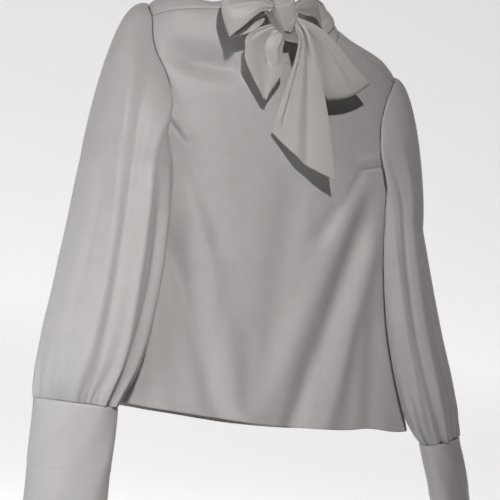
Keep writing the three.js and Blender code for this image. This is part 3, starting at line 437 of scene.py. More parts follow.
# Colour with a little cloudiness, on the piece's own coordinates.
def plainMaterial(name, color, roughness, tone=0.06):
    made, shader = newMaterial(name)
    nodes = wire(made.node_tree, {
        "place": "ShaderNodeTexCoord", "cloud": "ShaderNodeTexNoise", "ramp": "ShaderNodeValToRGB",
    }, (
        ("place", "Object", "cloud", "Vector"), ("cloud", "Fac", "ramp", "Fac"),
        ("ramp", "Color", "shader", "Base Color"),
    ), {"shader": shader})
    fill(nodes["cloud"], {"Scale": 260})
    fill(shader, {"Roughness": roughness})
    low, high = nodes["ramp"].color_ramp.elements
    low.color = (*[c * (1 - tone) for c in color], 1)
    high.color = (*[min(1, c * (1 + tone)) for c in color], 1)
    return made


bodyCrepe = clothMaterial("bodyCrepe", clothLook["body"])
tieCrepe = clothMaterial("tieCrepe", clothLook["tie"])
bodyCloth = (bodyCrepe, "crepe")
tieCloth = (tieCrepe, "tie_crepe")
sewingThread = plainMaterial("sewingThread", (0.6, 0.57, 0.54), 0.6)
buttonShell = plainMaterial("buttonShell", (0.72, 0.68, 0.62), 0.22, 0.12)
print("materials made")

# Body panels
panelSettings = {
    "columns": 120, "rows": 190, "edgeClose": 0.012, "wall": 0.9, "seamSpace": 0.1,
    "underarmShare": 11 / 23, "neckShare": 7 / 12,
    # rows packed along the hem: their share of the height, and how many
    "hemShare": 0.022, "hemRows": 12,
    "hemDepth": 11, "hemStep": 0.35, "hemRipple": 0.35, "tuck": 0.8, "tuckBreadth": 2.4,
    # how far from the side seams and from the top the broad folds and the creases fade out
    "foldFade": (40, 70), "creaseFade": (30, 60),
    # the left side of the hem hangs a little closer, behind the sleeve
    "leftDraw": {"most": 13, "fromX": 120, "overX": 120, "fromZ": 430, "overZ": 110},
}
frontFolds = table("x1 z1 x2 z2 breadth depth ends",
    (-135, -330, -34, -548, 13, -9),
    (-104, -285, -12, -548, 17, 5),
    (-150, -380, -112, -552, 17, 5),
    (142, -250, 64, -548, 14, -10),
    (116, -250, 26, -520, 19, 5.5),
    (160, -280, 108, -548, 14, 6),
    (24, -235, 22, -520, 21, -4.5),
    (-172, -118, -62, -108, 17, -10, True),
    (-122, -226, -60, -352, 12, -3.6, True),
    (126, -200, 66, -320, 11, -3.6, True),
    (172, -380, 178, -560, 15, -4),
)
frontCreases = table("x1 z1 x2 z2 breadth depth ends",
    # darts: the sewn line, then the dimple and pucker at its tip
    (-160, -186, -120, -226, 2.0, -1.8),
    (165, -190, 124, -206, 2.0, -1.8),
    (-150, -186, -112, -222, 7, 2.2, True),
    (152, -182, 116, -198, 7, 2.0, True),
    (-122, -222, -98, -266, 6, 2.0, True),
    (118, -206, 92, -262, 6, 1.8, True),
    (47, -268, 52, -312, 5, 1.2, True),
    (-48, -400, -58, -548, 7, -1.6),
    (90, -400, 84, -550, 6, 1.8),
    (-10, -430, -6, -552, 9, -1.6),
    (140, -400, 142, -552, 8, -1.8),
    (-178, -330, -170, -545, 10, 2.0),
)
backFolds = table("x1 z1 x2 z2 breadth depth",
    (-120, -200, -96, -570, 28, -9),
    (124, -210, 104, -570, 26, -8.25),
    (-52, -300, -44, -570, 26, 6),
    (50, -280, 46, -570, 30, 6.75),
    (168, -330, 176, -570, 18, -5.25),
    (-166, -320, -172, -570, 18, -5.25),
)
backCreases = table("x1 z1 x2 z2 breadth depth ends",
    (-80, -330, -76, -560, 9, 1.5),
    (84, -320, 80, -560, 9, -1.4),
    (140, -200, 118, -300, 8, 1.3, True),
    (-140, -196, -120, -300, 8, 1.3, True),
    (-30, -120, -34, -260, 16, -1.2, True),
)


# Shares from 0 to 1 with extra rows close to both ends.
def spread(count, close):
    near = [0, 0.25 * close, 0.55 * close]
    middle = np.linspace(close, 1 - close, count)
    return np.concatenate([near, middle, 1 - np.array(near[::-1])])


# Up the side seam and the armhole, at these shares of the panel's rows.
def sideEdge(shares, armhole, side):
    share = panelSettings["underarmShare"]
    low = shares <= share
    z = mix(bodyForm["hemSideZ"], bodyForm["underarmZ"], shares[low] / share)
    lower = np.stack([readTable(bodyForm["rows"], "half", z), 0 * z, z], axis=-1)
    arm = alongLine(seams[side][armhole], (shares[~low] - share) / (1 - share))
    return np.vstack([lower, arm])


def topEdge(shares, neck, side):
    share = panelSettings["neckShare"]
    low = shares <= share
    neckLine = alongLine(seams[side][neck][::-1], shares[low] / share)
    shoulder = alongLine(seams[side]["shoulder"], (shares[~low] - share) / (1 - share))
    return np.vstack([neckLine, shoulder])


def fillPanel(bottom, top, left, right, u, v):
    u, v = u[None, :, None], v[:, None, None]
    grid = (bottom[None] * (1 - v) + top[None] * v + left[:, None] * (1 - u) + right[:, None] * u
            - bottom[0] * (1 - u) * (1 - v) - bottom[-1] * u * (1 - v)
            - top[0] * (1 - u) * v - top[-1] * u * v)
    grid[1:-1, 1:-1] = seat(grid[1:-1, 1:-1])
    for _ in range(30):
        soft = (grid[:-2, 1:-1] + grid[2:, 1:-1] + grid[1:-1, :-2] + grid[1:-1, 2:]) / 4
        grid[1:-1, 1:-1] = mix(grid[1:-1, 1:-1], soft, 0.5)
    grid[1:-1, 1:-1] = seat(grid[1:-1, 1:-1], steps=4)
    return grid


# Cloth length from each place to the left, right, bottom and top edges.
def edgeRuns(grid):
    runU, runV = clothRuns(grid)
    return runU, runU[:, -1:] - runU, runV, runV[-1:] - runV


def shapePanel(grid, folds, creases):
    fromLeft, fromRight, fromHem, fromTop = edgeRuns(grid)
    outward = unit(formGradient(grid))
    near = np.minimum(fromLeft, fromRight)
    s = panelSettings
    broad = np.clip(near / s["foldFade"][0], 0, 1) * np.clip(fromTop / s["foldFade"][1], 0, 1)
    fine = ease(near / s["creaseFade"][0]) * ease(fromTop / s["creaseFade"][1])
    height = creased(grid, folds) * broad + creased(grid, creases) * fine
    height -= s["tuck"] * np.exp(-((np.minimum(near, fromTop) / s["tuckBreadth"]) ** 2))
    height += s["hemStep"] * (1 - ease((fromHem - s["hemDepth"]) / 1.2)) * ease(fromHem / 1.5)
    ripple = np.sin(grid[..., 0] * 0.11 + 1.3) * np.sin(grid[..., 0] * 0.043)
    height += s["hemRipple"] * ripple * np.exp(-fromHem / 25)
    grid = grid + outward * height[..., None]
    draw = s["leftDraw"]
    low = ease((-grid[..., 2] - draw["fromZ"]) / draw["overZ"])
    grid[..., 0] += draw["most"] * ease((-grid[..., 0] - draw["fromX"]) / draw["overX"]) * low
    return grid, outward


def panelRows():
    share = panelSettings["hemShare"]
    low = np.linspace(0, share, panelSettings["hemRows"])[:-1]
    return np.concatenate([low, mix(share, 1, spread(panelSettings["rows"], 0.008)[3:])])


def makeFront():
    right = spread(panelSettings["columns"] // 2, panelSettings["edgeClose"])[3:]
    right[0] = 0
    u = np.concatenate([-right[:0:-1], right])
    v = panelRows()
    shift = np.array([0, -panelSettings["seamSpace"] / 2, 0])
    rightEdge = sideEdge(v, "armFront", 1) + shift
    leftEdge = mirrored(sideEdge(v, "armFront", -1) + shift)
    top = np.vstack([mirrored(topEdge(right, "neckFront", -1))[:0:-1], topEdge(right, "neckFront", 1)])
    bottom = np.vstack([mirrored(hemLine(right * 90, False, -1))[:0:-1], hemLine(right * 90, False, 1)])
    bottom[0], bottom[-1], top[0], top[-1] = leftEdge[0], rightEdge[0], leftEdge[-1], rightEdge[-1]
    grid = fillPanel(bottom, top, leftEdge, rightEdge, (u + 1) / 2, v)
    grid, outward = shapePanel(grid, frontFolds, frontCreases)
    clothPiece("frontPanel", "front", grid, False, outward, bodyCloth, panelSettings["wall"])
    return grid, outward


def makeBack(side):
    u = spread(panelSettings["columns"] // 2, panelSettings["edgeClose"])
    v = panelRows()
    outer = sideEdge(v, "armBack", side) + np.array([0, panelSettings["seamSpace"] / 2, 0])
    top = topEdge(u, "neckBack", side)
    bottom = hemLine(u * 90, True, side)
    z = mix(bottom[0][2], -bodyForm["neckDropBack"], v)
    centre = faceAt(np.full_like(z, panelSettings["seamSpace"] / 2), z, "back")
    bottom[0], bottom[-1], top[0], top[-1] = centre[0], outer[0], centre[-1], outer[-1]
    grid = fillPanel(bottom, top, centre, outer, u, v)
    if side < 0:
        grid = mirrored(grid)
    grid, outward = shapePanel(grid, backFolds, backCreases)
    name, node = sided("backPanel", "back", side)
    clothPiece(name, node, grid, False, outward, bodyCloth, panelSettings["wall"])
    return grid, outward


frontGrid, frontOut = makeFront()
backGrids = {side: makeBack(side) for side in (-1, 1)}
print("body panels made")

# Sleeves
sleeveSettings = {
    "columns": 192, "capRings": 44, "lowRings": 110, "capBend": 1.25, "lowBend": 1.15,
    "gathers": 16, "gatherDepth": 4.2, "gatherStartZ": -430, "gatherGrowth": 2.2, "smallGathers": 47,
    "smallDepth": 0.9, "foldShare": 1.5, "wall": 0.9, "solidWall": 1.2, "clearance": 3.0,
    "capSwell": {-1: 130, 1: 104}, "capRise": {-1: 0.2, 1: 0.45}, "armCentre": (190, 0, -140),
    # pull of the cloth where it leaves the armhole, and its direction outwards and down: at the
    # sides, at the top, on the inner side and underarm; then its pull where the cap ends
    "pull": {"sides": 86, "inner": 84, "under": 14},
    "pullOut": {"sides": 0.86, "top": 1, "inner": -0.5, "under": 0.5},
    "pullDown": {"sides": -0.36, "under": -0.86}, "endPull": {"sides": 120, "topShare": 1.8, "under": 40},
}
sleeveRows = {
    -1: table("z out y long short turn tilt",
        (-262, 187, -38, 57, 41, 25, 0),
        (-330, 188, -47, 60, 41, 25, 0),
        (-400, 191, -53, 62, 43, 25, 0),
        (-460, 196, -57, 62, 44, 25, 0),
        (-510, 202, -59, 58, 39, 25, 0),
        (-540, 208, -59, 51, 29, 25, 0),
        (-553, 210, -59, 48, 22, 25, 0),),
    1: table("z out y long short turn tilt",
        (-262, 211, -19, 52, 32, 40, 4),
        (-330, 227, -22, 60, 34, 40, 6),
        (-400, 245, -26, 62, 36, 40, 8),
        (-460, 265, -27, 60, 38, 40, 10),
        (-505, 284, -25, 56, 35, 40, 12),
        (-533, 300, -22, 50, 27, 40, 13),
        (-546, 310, -21, 48, 22, 40, 14),),
}
# long soft folds of the sleeves: place round the sleeve in degrees (0 at the shoulder, 90 in
# front, 180 underarm), from height z1 to z2, half-breadth in degrees and depth
sleeveFolds = {
    -1: table("a1 z1 a2 z2 breadth depth",
        (42, -160, 52, -545, 7, 2.2),
        (58, -120, 66, -520, 6, -1.8),
        (84, -230, 92, -545, 6, 2.4),
        (100, -280, 104, -545, 5, -2.2),
        (118, -240, 116, -540, 7, 2.4),
        (20, -260, 26, -545, 7, -2.0),
        (300, -240, 296, -545, 9, -2.4),
        (262, -300, 258, -545, 8, 2.2),
        (330, -200, 336, -545, 9, 2.0),),
    1: table("a1 z1 a2 z2 breadth depth",
        (60, -150, 66, -535, 8, 2.0),
        (80, -210, 84, -535, 6, -2.2),
        (104, -240, 102, -535, 7, 2.0),
        (36, -220, 40, -535, 8, -1.8),
        (300, -240, 300, -535, 9, -2.2),
        (266, -300, 262, -535, 8, 2.0),
        (330, -200, 330, -535, 9, 1.8),),
}


def gatherShape(a, z, rows, side):
    end = rows[-1]["z"]
    t = np.clip((sleeveSettings["gatherStartZ"] - z) / (sleeveSettings["gatherStartZ"] - end), 0, 1)
    uneven = 0.7 + 0.3 * np.sin(3 * a + side) * np.cos(2 * a + 1)
    grow = t ** sleeveSettings["gatherGrowth"] * (1 - 0.55 * ease((t - 0.88) / 0.12))
    main = np.cos(sleeveSettings["gathers"] * a + 0.6 * np.sin(2 * a) * (1 - t))
    sharp = np.sign(main) * np.abs(main) ** 0.8
    small = sleeveSettings["smallDepth"] * np.cos(sleeveSettings["smallGathers"] * a + 2 * np.sin(3 * a))
    small = small * ease((t - 0.8) / 0.15)
    return sleeveSettings["gatherDepth"] * uneven * grow * sharp + small * uneven


def sleeveFoldHeight(a, z, side):
    degrees = np.degrees(a)
    total = np.zeros(np.broadcast(a, z).shape)
    for f in sleeveFolds[side]:
        t = (f["z1"] - z) / (f["z1"] - f["z2"])
        centre = mix(f["a1"], f["a2"], np.clip(t, 0, 1)) + 2.5 * np.sin(5 * t + f["a1"])
        away = (degrees - centre + 180) % 360 - 180
        depth = sleeveSettings["foldShare"] * f["depth"] * ease((t + 0.05) / 0.35)
        total += depth * np.exp(-((away / f["breadth"]) ** 2))
    return total


def sleeveSection(rows, z, a):
    read = lambda name: readTable(rows, name, z)
    turn = np.radians(read("turn"))
    endColumn = np.radians(mix(150, 90, (read("turn") - 10) / 60))
    w = a - endColumn
    side = 1 if rows is sleeveRows[1] else -1
    swell = gatherShape(a, z, rows, side) + sleeveFoldHeight(a, z, side)
    dx = (read("long") + swell) * np.cos(w)
    dy = -(read("short") + swell) * np.sin(w)
    out = read("out") + dx * -np.cos(turn) + dy * np.sin(turn)
    y = read("y") + dx * -np.sin(turn) + dy * -np.cos(turn)
    lift = np.tan(np.radians(read("tilt"))) * (out - read("out"))
    return np.stack([out, y, z + lift], axis=-1)


def clearOfBody(p, clearance):
    near = 1 + clearance * np.linalg.norm(formGradient(p), axis=-1)
    low = p[..., 2] < bodyForm["hemBackZ"] - 4
    inside = (formRatio(p) < near) & ~low
    moved = p.copy()
    if inside.any():
        moved[inside] = seat(p[inside], np.broadcast_to(near, inside.shape)[inside])
    return moved


def armholeLoop(count, side):
    half = count // 2
    front = alongLine(seams[side]["armFront"][::-1], np.linspace(0, 1, half + 1))
    back = alongLine(seams[side]["armBack"], np.linspace(0, 1, half + 1))
    return np.vstack([front, back[1:-1]])


def sleeveGrid(side):
    s, rows = sleeveSettings, sleeveRows[side]
    count = s["columns"]
    loop = armholeLoop(count, side)
    a = np.arange(count) / count * 2 * math.pi
    away = unit(np.cross(formGradient(loop), np.roll(loop, -1, axis=0) - np.roll(loop, 1, axis=0)))
    centre = np.array(s["armCentre"], float)
    away = np.where((np.sum(away * (centre - loop), axis=1) < 0)[:, None], -away, away)
    first = loop + away * panelSettings["seamSpace"] / 2
    section = sleeveSection(rows, np.full(count, float(rows[0]["z"])), a)
    under = ease((np.cos(a - math.pi) - 0.55) / 0.4)
    inner = ease((np.cos(a - math.radians(125)) - 0.35) / 0.5) * (1 - under)
    high = np.maximum(0, np.cos(a))
    swell = s["capSwell"][side]
    pull, pullOut, pullDown, endPull = s["pull"], s["pullOut"], s["pullDown"], s["endPull"]
    reach = mix(mix(mix(pull["sides"], swell, high), pull["inner"], inner), pull["under"], under)
    out = mix(mix(pullOut["sides"], pullOut["top"], high), pullOut["inner"], inner)
    out = mix(out, pullOut["under"], under)
    drop = mix(mix(pullDown["sides"], s["capRise"][side], high), pullDown["under"], under)
    start = np.stack([out, mix(-0.2 * np.sin(a), -0.5, inner), drop], axis=-1) * reach[:, None]
    end = mix(mix(endPull["sides"], endPull["topShare"] * swell, high), endPull["under"], under)
    down = np.stack([0 * a, 0 * a, -end], axis=-1)
    rings = []
    for k in range(s["capRings"] + 1):
        t = (k / s["capRings"]) ** s["capBend"]
        ring = bend(first, start, section, down, t)
        if k:
            clear = s["solidWall"] + mix(0.1, s["clearance"], ease(t * mix(1, 2.4, under)))
            ring = clearOfBody(ring, clear * ease(t / 0.03))
        rings.append(ring)
    for level in 1 - (1 - np.linspace(0, 1, s["lowRings"] + 1)[1:]) ** s["lowBend"]:
        ring = sleeveSection(rows, np.full(count, mix(float(rows[0]["z"]), rows[-1]["z"], level)), a)
        rings.append(clearOfBody(ring, s["solidWall"] + s["clearance"]))
    grid = np.stack(rings)
    grid[1:-1] = mix(grid[1:-1], (grid[:-2] + grid[2:]) / 2, 0.5)
    return grid if side > 0 else mirrored(grid)


def makeSleeve(side):
    grid = sleeveGrid(side)
    outward = facing(grid, grid - grid.mean(axis=1, keepdims=True), True)
    name, node = sided("sleeve", "sleeve", side)
    ends = np.minimum(np.arange(len(grid)), 3) / 3
    tuck = panelSettings["tuck"] * (1 - ends)
    grid = grid - outward * tuck[:, None, None]
    clothPiece(name, node, grid, True, outward, bodyCloth, sleeveSettings["wall"])


for side in (-1, 1):
    makeSleeve(side)
print("sleeves made")

# Cuffs
cuffSettings = {
    "length": 126, "lap": 22, "openAt": 105, "lean": {-1: -3, 1: 17}, "wall": 1.8, "columns": 150,
    "rows": 60, "stepAt": 0.56, "stepHeight": 0.5, "standOff": 1.2, "taper": 1.5, "lapRise": 2.4,
    "lapFrom": 300, "lapOver": 50, "seamSpace": 0.2, "tuck": 0.7, "tuckBreadth": 1.3,
}


def cuffGrid(side):
    last, s = sleeveRows[side][-1], cuffSettings
    lean = math.radians(s["lean"][side])
    turn = math.radians(last["turn"])
    share = spread(s["columns"], 0.01)[None, :]
    level = spread(s["rows"], 0.015)[:, None]
    run = share * (2 * math.pi + s["lap"] / last["long"])
    a = math.radians(s["openAt"]) + run
    down = level * s["length"]
    over = ease((run - math.radians(s["lapFrom"])) / math.radians(s["lapOver"]))
    grow = s["standOff"] + over * s["lapRise"] - s["taper"] * level
    grow = grow + s["stepHeight"] * (1 - ease((level - s["stepAt"] - 0.03 * np.sin(2 * a)) / 0.02))
    grow = grow + 0.9 * np.sin(2.0 * a + 5 * level) * np.sin(3 * level + a)
    grow = grow + 0.5 * np.sin(7 * a + 9 * level)
    edge = np.minimum(down, s["length"] - down)
    grow = grow - s["tuck"] * np.exp(-((edge / s["tuckBreadth"]) ** 2))
    dx = (last["long"] + grow) * np.cos(a)
    dy = -(last["short"] + grow) * np.sin(a)
    out = dx * -np.cos(turn) + dy * np.sin(turn)
    y = last["y"] + dx * -np.sin(turn) + dy * -np.cos(turn)
    z = last["z"] - s["seamSpace"] - down * math.cos(lean) + math.tan(math.radians(last["tilt"])) * out
    x = side * (last["out"] + out + down * math.tan(lean))
    return np.stack([x, y, z + 0 * x], axis=-1)


def makeCuff(side):
    grid = cuffGrid(side)
    axis = grid.mean(axis=1, keepdims=True)
    name, node = sided("cuff", "cuff", side)
    clothPiece(name, node, grid, False, grid - axis, bodyCloth, cuffSettings["wall"])


for side in (-1, 1):
    makeCuff(side)
print("cuffs made")

# Collar and the tie round it
collarSettings = {"height": 34, "lean": 31, "draw": 0.15, "columns": 60, "rows": 14, "wall": 1.8,
                  "seamSpace": 0.2, "backGap": 0.15, "crown": 0.5, "tuck": 0.9, "tuckBreadth": 1.3}


def neckLoop(columns):
    back = alongLine(seams[1]["neckBack"][::-1], np.linspace(0, 1, columns + 1))
    front = alongLine(seams[1]["neckFront"], np.linspace(0, 1, columns + 1))
    right = np.vstack([back, front[1:]])
    right[0, 0] = collarSettings["backGap"]
    right[-1, 0] = 0
    return np.vstack([right, mirrored(right)[-2::-1]])


def collarBase(columns):
    loop = neckLoop(columns)
    before = np.vstack([loop[:1], loop[:-1]])
    after = np.vstack([loop[1:], loop[-1:]])
    away = unit(np.cross(formGradient(loop), after - before))
    inward = np.stack([-loop[:, 0], -loop[:, 1], np.full(len(loop), 60.0)], axis=-1)
    away = np.where((np.sum(away * inward, axis=1) < 0)[:, None], -away, away)
    return loop + away * collarSettings["seamSpace"]


def collarPoint(base, level):
    x = base[..., 0] * (1 - collarSettings["lean"] / bodyForm["neckHalf"] * level)
    y = base[..., 1] * (1 - collarSettings["draw"] * level)
    return np.stack([x, y, base[..., 2] + collarSettings["height"] * level], axis=-1)


def makeCollar():
    base = collarBase(collarSettings["columns"])
    levels = spread(collarSettings["rows"], 0.05)
    grid = np.stack([collarPoint(base, level) for level in levels])
    outward = facing(grid, grid * np.array([1, 1, 0]))
    s = collarSettings
    edge = np.minimum(levels, 1 - levels) * s["height"]
    height = s["crown"] * np.sin(levels * math.pi) - s["tuck"] * np.exp(-((edge / s["tuckBreadth"]) ** 2))
    grid = grid + outward * height[:, None, None]
    clothPiece("collarStand", "collar", grid, False, outward, bodyCloth, s["wall"])


makeCollar()

tieSettings = {
    "low": 0.3, "high": 0.95, "rise": 0.1, "frontShare": 2 / 7, "standOff": 0.5, "wall": 1.6,
    "columns": 42, "rootColumns": 50, "rows": 26,
    "rootRight": {"x": (-8.53, -10.53), "z": (-24, -12), "y": -82,
                  "via": table("x y z tall", (8, -76, -7, 33), (27, -66, 2, 40))},
    "rootLeft": {"x": (43.53, 42.53), "z": (-30, -14), "y": -76,
                 "via": table("x y z tall", (56, -67, -7, 18), (62, -56, 4, 21))},
}


def makeTieNeck():
    columns = tieSettings["columns"]
    base = collarBase(columns)
    low, high = collarPoint(base, 0.0), collarPoint(base, 1.0)
    pair = np.stack([low, high])
    away = gridNormals(pair)[0]
    if np.sum(away * (low * np.array([1, 1, 0]))) < 0:
        away = -away
    stand = collarSettings["wall"] + tieSettings["standOff"]
    last = columns + int(round(columns * tieSettings["frontShare"]))

    def place(i, level):
        return low[i] + (high[i] - low[i]) * level + away[i] * stand

    roundBand = []
    for i in range(last + 1):
        rise = tieSettings["rise"] * max(0, (i - columns) / columns * 7)
        roundBand.append([place(i, tieSettings["low"] + rise), place(i, tieSettings["high"] + rise)])
    roundBand = np.array(roundBand)
    roundBand[0, :, 0] = 0

    def stretch(side, end):
        lines = []
        for k in (0, 1):
            start = roundBand[-1, k] * np.array([side, 1, 1])
            points = [np.array([side * end["x"][k], end["y"], end["z"][k]])]
            for v in end["via"]:
                points.append(np.array([side * v["x"], v["y"], v["z"] + (k - 0.5) * v["tall"]]))
            line = smoothCurve([*points, start])
            lines.append(alongLine(line, np.linspace(0, 1, tieSettings["rootColumns"])))
        return np.stack(lines, axis=1)

    left = stretch(-1, tieSettings["rootLeft"])[:-1]
    right = stretch(1, tieSettings["rootRight"])[:-1][::-1]
    path = np.concatenate([left, mirrored(roundBand)[::-1], roundBand[1:], right])
    u = spread(tieSettings["rows"], 0.04)
    grid = path[:, 0][None] * (1 - u[:, None, None]) + path[:, 1][None] * u[:, None, None]
    outward = facing(grid, grid * np.array([1, 1, 0]))
    run = np.arange(len(path)) / len(path)
    ripple = 0.5 * np.sin(u[:, None] * 9 + 2.2 * np.sin(run[None, :] * 5))
    ripple = ripple + 0.2 * np.sin(u[:, None] * 19 + run[None, :] * 9)
    edge = np.minimum(u, 1 - u)[:, None]
    grid = grid + outward * (0.9 + ripple * ease(edge / 0.1) - 0.5 * np.exp(-((edge / 0.04) ** 2)))[..., None]
    clothPiece("tieBand", "tie_neck", grid, False, outward, tieCloth, tieSettings["wall"])


makeTieNeck()
print("collar and tie band made")

# The bow
bowRows = {
    "loopLeft": table("x1 z1 x2 z2 y fold bulgeX",
        (-42.44, -34, -40.44, -17, -86, 1, 0),
        (-60, -44, -62, -9, -88, 3, 0),
        (-76, -63, -84, -4, -86, 3, 0),
        (-88, -77, -102, -8, -82, 2, -4),
        (-92, -81, -107, -14, -77, 0, -8),
        (-89, -79, -102, -11, -75, 0, -4),
        (-74, -73, -84, -8, -76, 0, 0),
        (-60, -64, -64, -12, -78, 0, 0),
        (-49, -50, -52, -20, -78, 0, 0),),
    "loopRight": table("x1 z1 x2 z2 y fold bulgeX bulgeZ",
        (-5.73, -44, -7.73, -30, -78, 0, 0, 0),
        (10, -64, 17, -36, -84, 1.5, 0, 0),
        (22, -92, 43, -48, -86, 2, 0, 0),
        (36, -116, 78, -75, -86, 1.5, 2, -2),
        (48, -129, 104, -91, -84, 0.5, 3, -4),
        (51, -131, 110, -95, -79, 0, 3, -5),
        (47, -128, 103, -91, -75, 0, 3, -4),
        (35, -113, 76, -74, -72, 0, 0, 0),
        (22, -90, 43, -50, -70, 0, 0, 0),
        (6, -60, 12, -38, -71, 0, 0, 0),),
    "tailLeft": table("x1 z1 x2 z2 y fold",
        (-39, -48.92, -20, -59.92, -76.43, 1),
        (-58, -61, -18, -70, -76, 3),
        (-70, -76, -19, -82, -76, 3),
        (-69, -91, -15, -96, -76, 2.5),
        (-67, -104, -14, -108, -76, 2),
        (-57, -120, -20, -122, -76, 1.5),
        (-45, -136, -28, -138, -76, 1),
        (-36, -148, -31, -149, -76, 0.5),),
    "tailRight": table("x1 z1 x2 z2 y fold bulgeZ near",
        (-9.46, -47, -8.46, -33, -87, 0.5, 0),
        (-8, -56, 2, -44, -90, 1, 0),
        (-5, -66, 11, -58, -92, 3, 0),
        (-4, -84, 23, -82, -91, 4, 0, 4),
        (-6, -108, 35, -110, -90, 4, 0, 9),
        (-9, -134, 46, -140, -88, 3, 0, 12),
        (-13, -160, 57, -172, -87, 2, -2, 15),
        (-15, -177, 66, -206, -86, 1.5, -5, 16),
        (-16, -187, 74, -235, -86, 1, -9, 17),),
}
bowPieces = table(
    "name node rows columns rays rayCount flat",
    ("loopLeft", "tie_loop_left", 120, 56, 0.9, 4.2, (0.085, 0.13)),
    ("loopRight", "tie_loop_right", 130, 56, 0.9, 3.6, (0.085, 0.24)),
    ("tailLeft", "tie_tail_left", 90, 50, 0.7, 3.4, (0.065, 0.105)),
    ("tailRight", "tie_tail_right", 120, 60, 0.8, 3.8, (0.1, 0.2)))
# creases across a piece of the bow: from share u1 at its start to u2 at its end, over t1 to t2
bowFolds = {
    "loopLeft": table("u1 u2 t1 t2 breadth depth",
        (0.42, 0.5, 0.0, 0.4, 0.06, 2.2),
        (0.7, 0.78, 0.0, 0.32, 0.05, -1.8)),
    "loopRight": table("u1 u2 t1 t2 breadth depth",
        (0.35, 0.3, 0.0, 0.34, 0.05, 2.2),
        (0.62, 0.6, 0.0, 0.42, 0.09, -2.6)),
    "tailLeft": table("u1 u2 t1 t2 breadth depth",
        (0.2, 0.1, 0.0, 0.3, 0.06, 1.8),
        (0.5, 0.62, 0.1, 0.55, 0.07, 1.6),
        (0.85, 0.8, 0.0, 0.5, 0.08, -2.4)),
    "tailRight": table("u1 u2 t1 t2 breadth depth",
        (0.2, 0.13, 0.05, 0.85, 0.022, 3.0),
        (0.1, 0.06, 0.05, 0.85, 0.05, -1.6),
        (0.66, 0.66, 0.04, 0.42, 0.05, 4.0),
        (0.62, 0.55, 0.3, 1.1, 0.09, 2.0),
        (0.4, 0.36, 0.1, 1.1, 0.12, -2.6)),
}


def bowCreases(name, u, start):
    total = 0 * u * start
    for f in bowFolds[name]:
        t = np.clip((start - f["t1"]) / (f["t2"] - f["t1"]), 0, 1)
        fade = ease((start - f["t1"] + 0.03) / 0.08) * ease((f["t2"] + 0.03 - start) / 0.12)
        total = total + f["depth"] * fade * np.exp(-(((u - mix(f["u1"], f["u2"], t)) / f["breadth"]) ** 2))
    return total


def alongRows(rows, name, t):
    values = np.array([row.get(name, 0) for row in rows], float)
    n = len(values)
    i = np.minimum(np.floor(t).astype(int), n - 2)
    s = t - i
    at = lambda k: values[np.clip(k, 0, n - 1)]
    m0, m1 = (at(i + 1) - at(i - 1)) / 2, (at(i + 2) - at(i)) / 2
    return bend(at(i), m0, at(i + 1), m1, s)


def makeBowPiece(settings):
    name = settings["name"]
    rows = bowRows[name]
    t = np.linspace(0, 1, settings["rows"])[:, None] * (len(rows) - 1)
    u = spread(settings["columns"], 0.02)[None, :]
    read = lambda column: alongRows(rows, column, t)
    pleat = 0.5 + 0.5 * np.sin((u * 2.6 + 0.15) * math.pi)
    start = t / (len(rows) - 1)
    ends = np.exp(-start / 0.16) + (np.exp(-(1 - start) / 0.12) if "loop" in name else 0)
    phase = 2 * math.pi * settings["rayCount"] * u + 1.5 * start + 0.7
    rays = settings["rays"] * np.cos(phase) * np.minimum(ends, 1)
    y = read("y") - read("fold") * pleat - rays * np.sin(u * math.pi) ** 0.5 + bowCreases(name, u, start)
    y = y + read("near") * (1 - u) ** 1.4
    x = mix(read("x1"), read("x2"), u) + read("bulgeX") * np.sin(u * math.pi)
    z = mix(read("z1"), read("z2"), u) + read("bulgeZ") * np.sin(u * math.pi)
    grid = np.stack([x, y + 0 * x, z], axis=-1)
    outward = gridNormals(grid)
    if outward[0].mean(axis=0)[1] > 0:
        outward = -outward
    clothPiece(name + "Cloth", settings["node"], grid, False, outward, tieCloth, tieSettings["wall"])


knotSettings = {
    "bottom": -55, "top": -7, "bottomX": -15, "topX": -31, "y": -79, "halfWidth": 16.5, "halfDepth": 12,
    "rows": table("z share", (0, 0.3), (-0.14, 0.62), (-0.35, 0.92), (-0.62, 1.06), (-0.86, 1.02),
                  (-1, 0.86)),
    "square": 0.72, "wraps": 2, "wrapDepth": 0.1, "slant": 2.2, "wall": 1.2,
}


def makeKnot():
    k = knotSettings
    level = np.linspace(0, 1, 60)[:, None]
    a = np.linspace(0, 2 * math.pi, 96, endpoint=False)[None, :]
    share = readTable(k["rows"], "share", -level)
    # slanting wraps of the cloth, each with a crisp edge
    phase = (k["wraps"] * (level + k["slant"] * np.cos(a + 2.2) / 4) + 0.2 * np.sin(a)) % 1.0
    folds = 1 + k["wrapDepth"] * (phase ** 0.7 - 0.5) * np.sin(np.clip(level, 0.02, 0.98) * math.pi) ** 0.4
    folds = folds + 0.015 * np.cos(7 * a + 9 * level)
    cosine = np.sign(np.cos(a)) * np.abs(np.cos(a)) ** k["square"]
    sine = np.sign(np.sin(a)) * np.abs(np.sin(a)) ** k["square"]
    x = mix(k["bottomX"], k["topX"], level) + k["halfWidth"] * share * folds * cosine
    y = k["y"] + k["halfDepth"] * share * folds * sine
    z = mix(k["bottom"], k["top"], level) + 0 * x
    grid = np.stack([x, y, z], axis=-1)
    axis = grid.mean(axis=1, keepdims=True)
    clothPiece("knotWrap", "tie_knot", grid, True, grid - axis, tieCloth, k["wall"])


makeKnot()
for settings in bowPieces:
    makeBowPiece(settings)
print("bow made")

# Machine stitches
stitchSettings = {"spacing": 2.4, "length": 1.7, "radius": 0.17, "lift": 0.12, "hemRow": 9.5, "seed": 7}


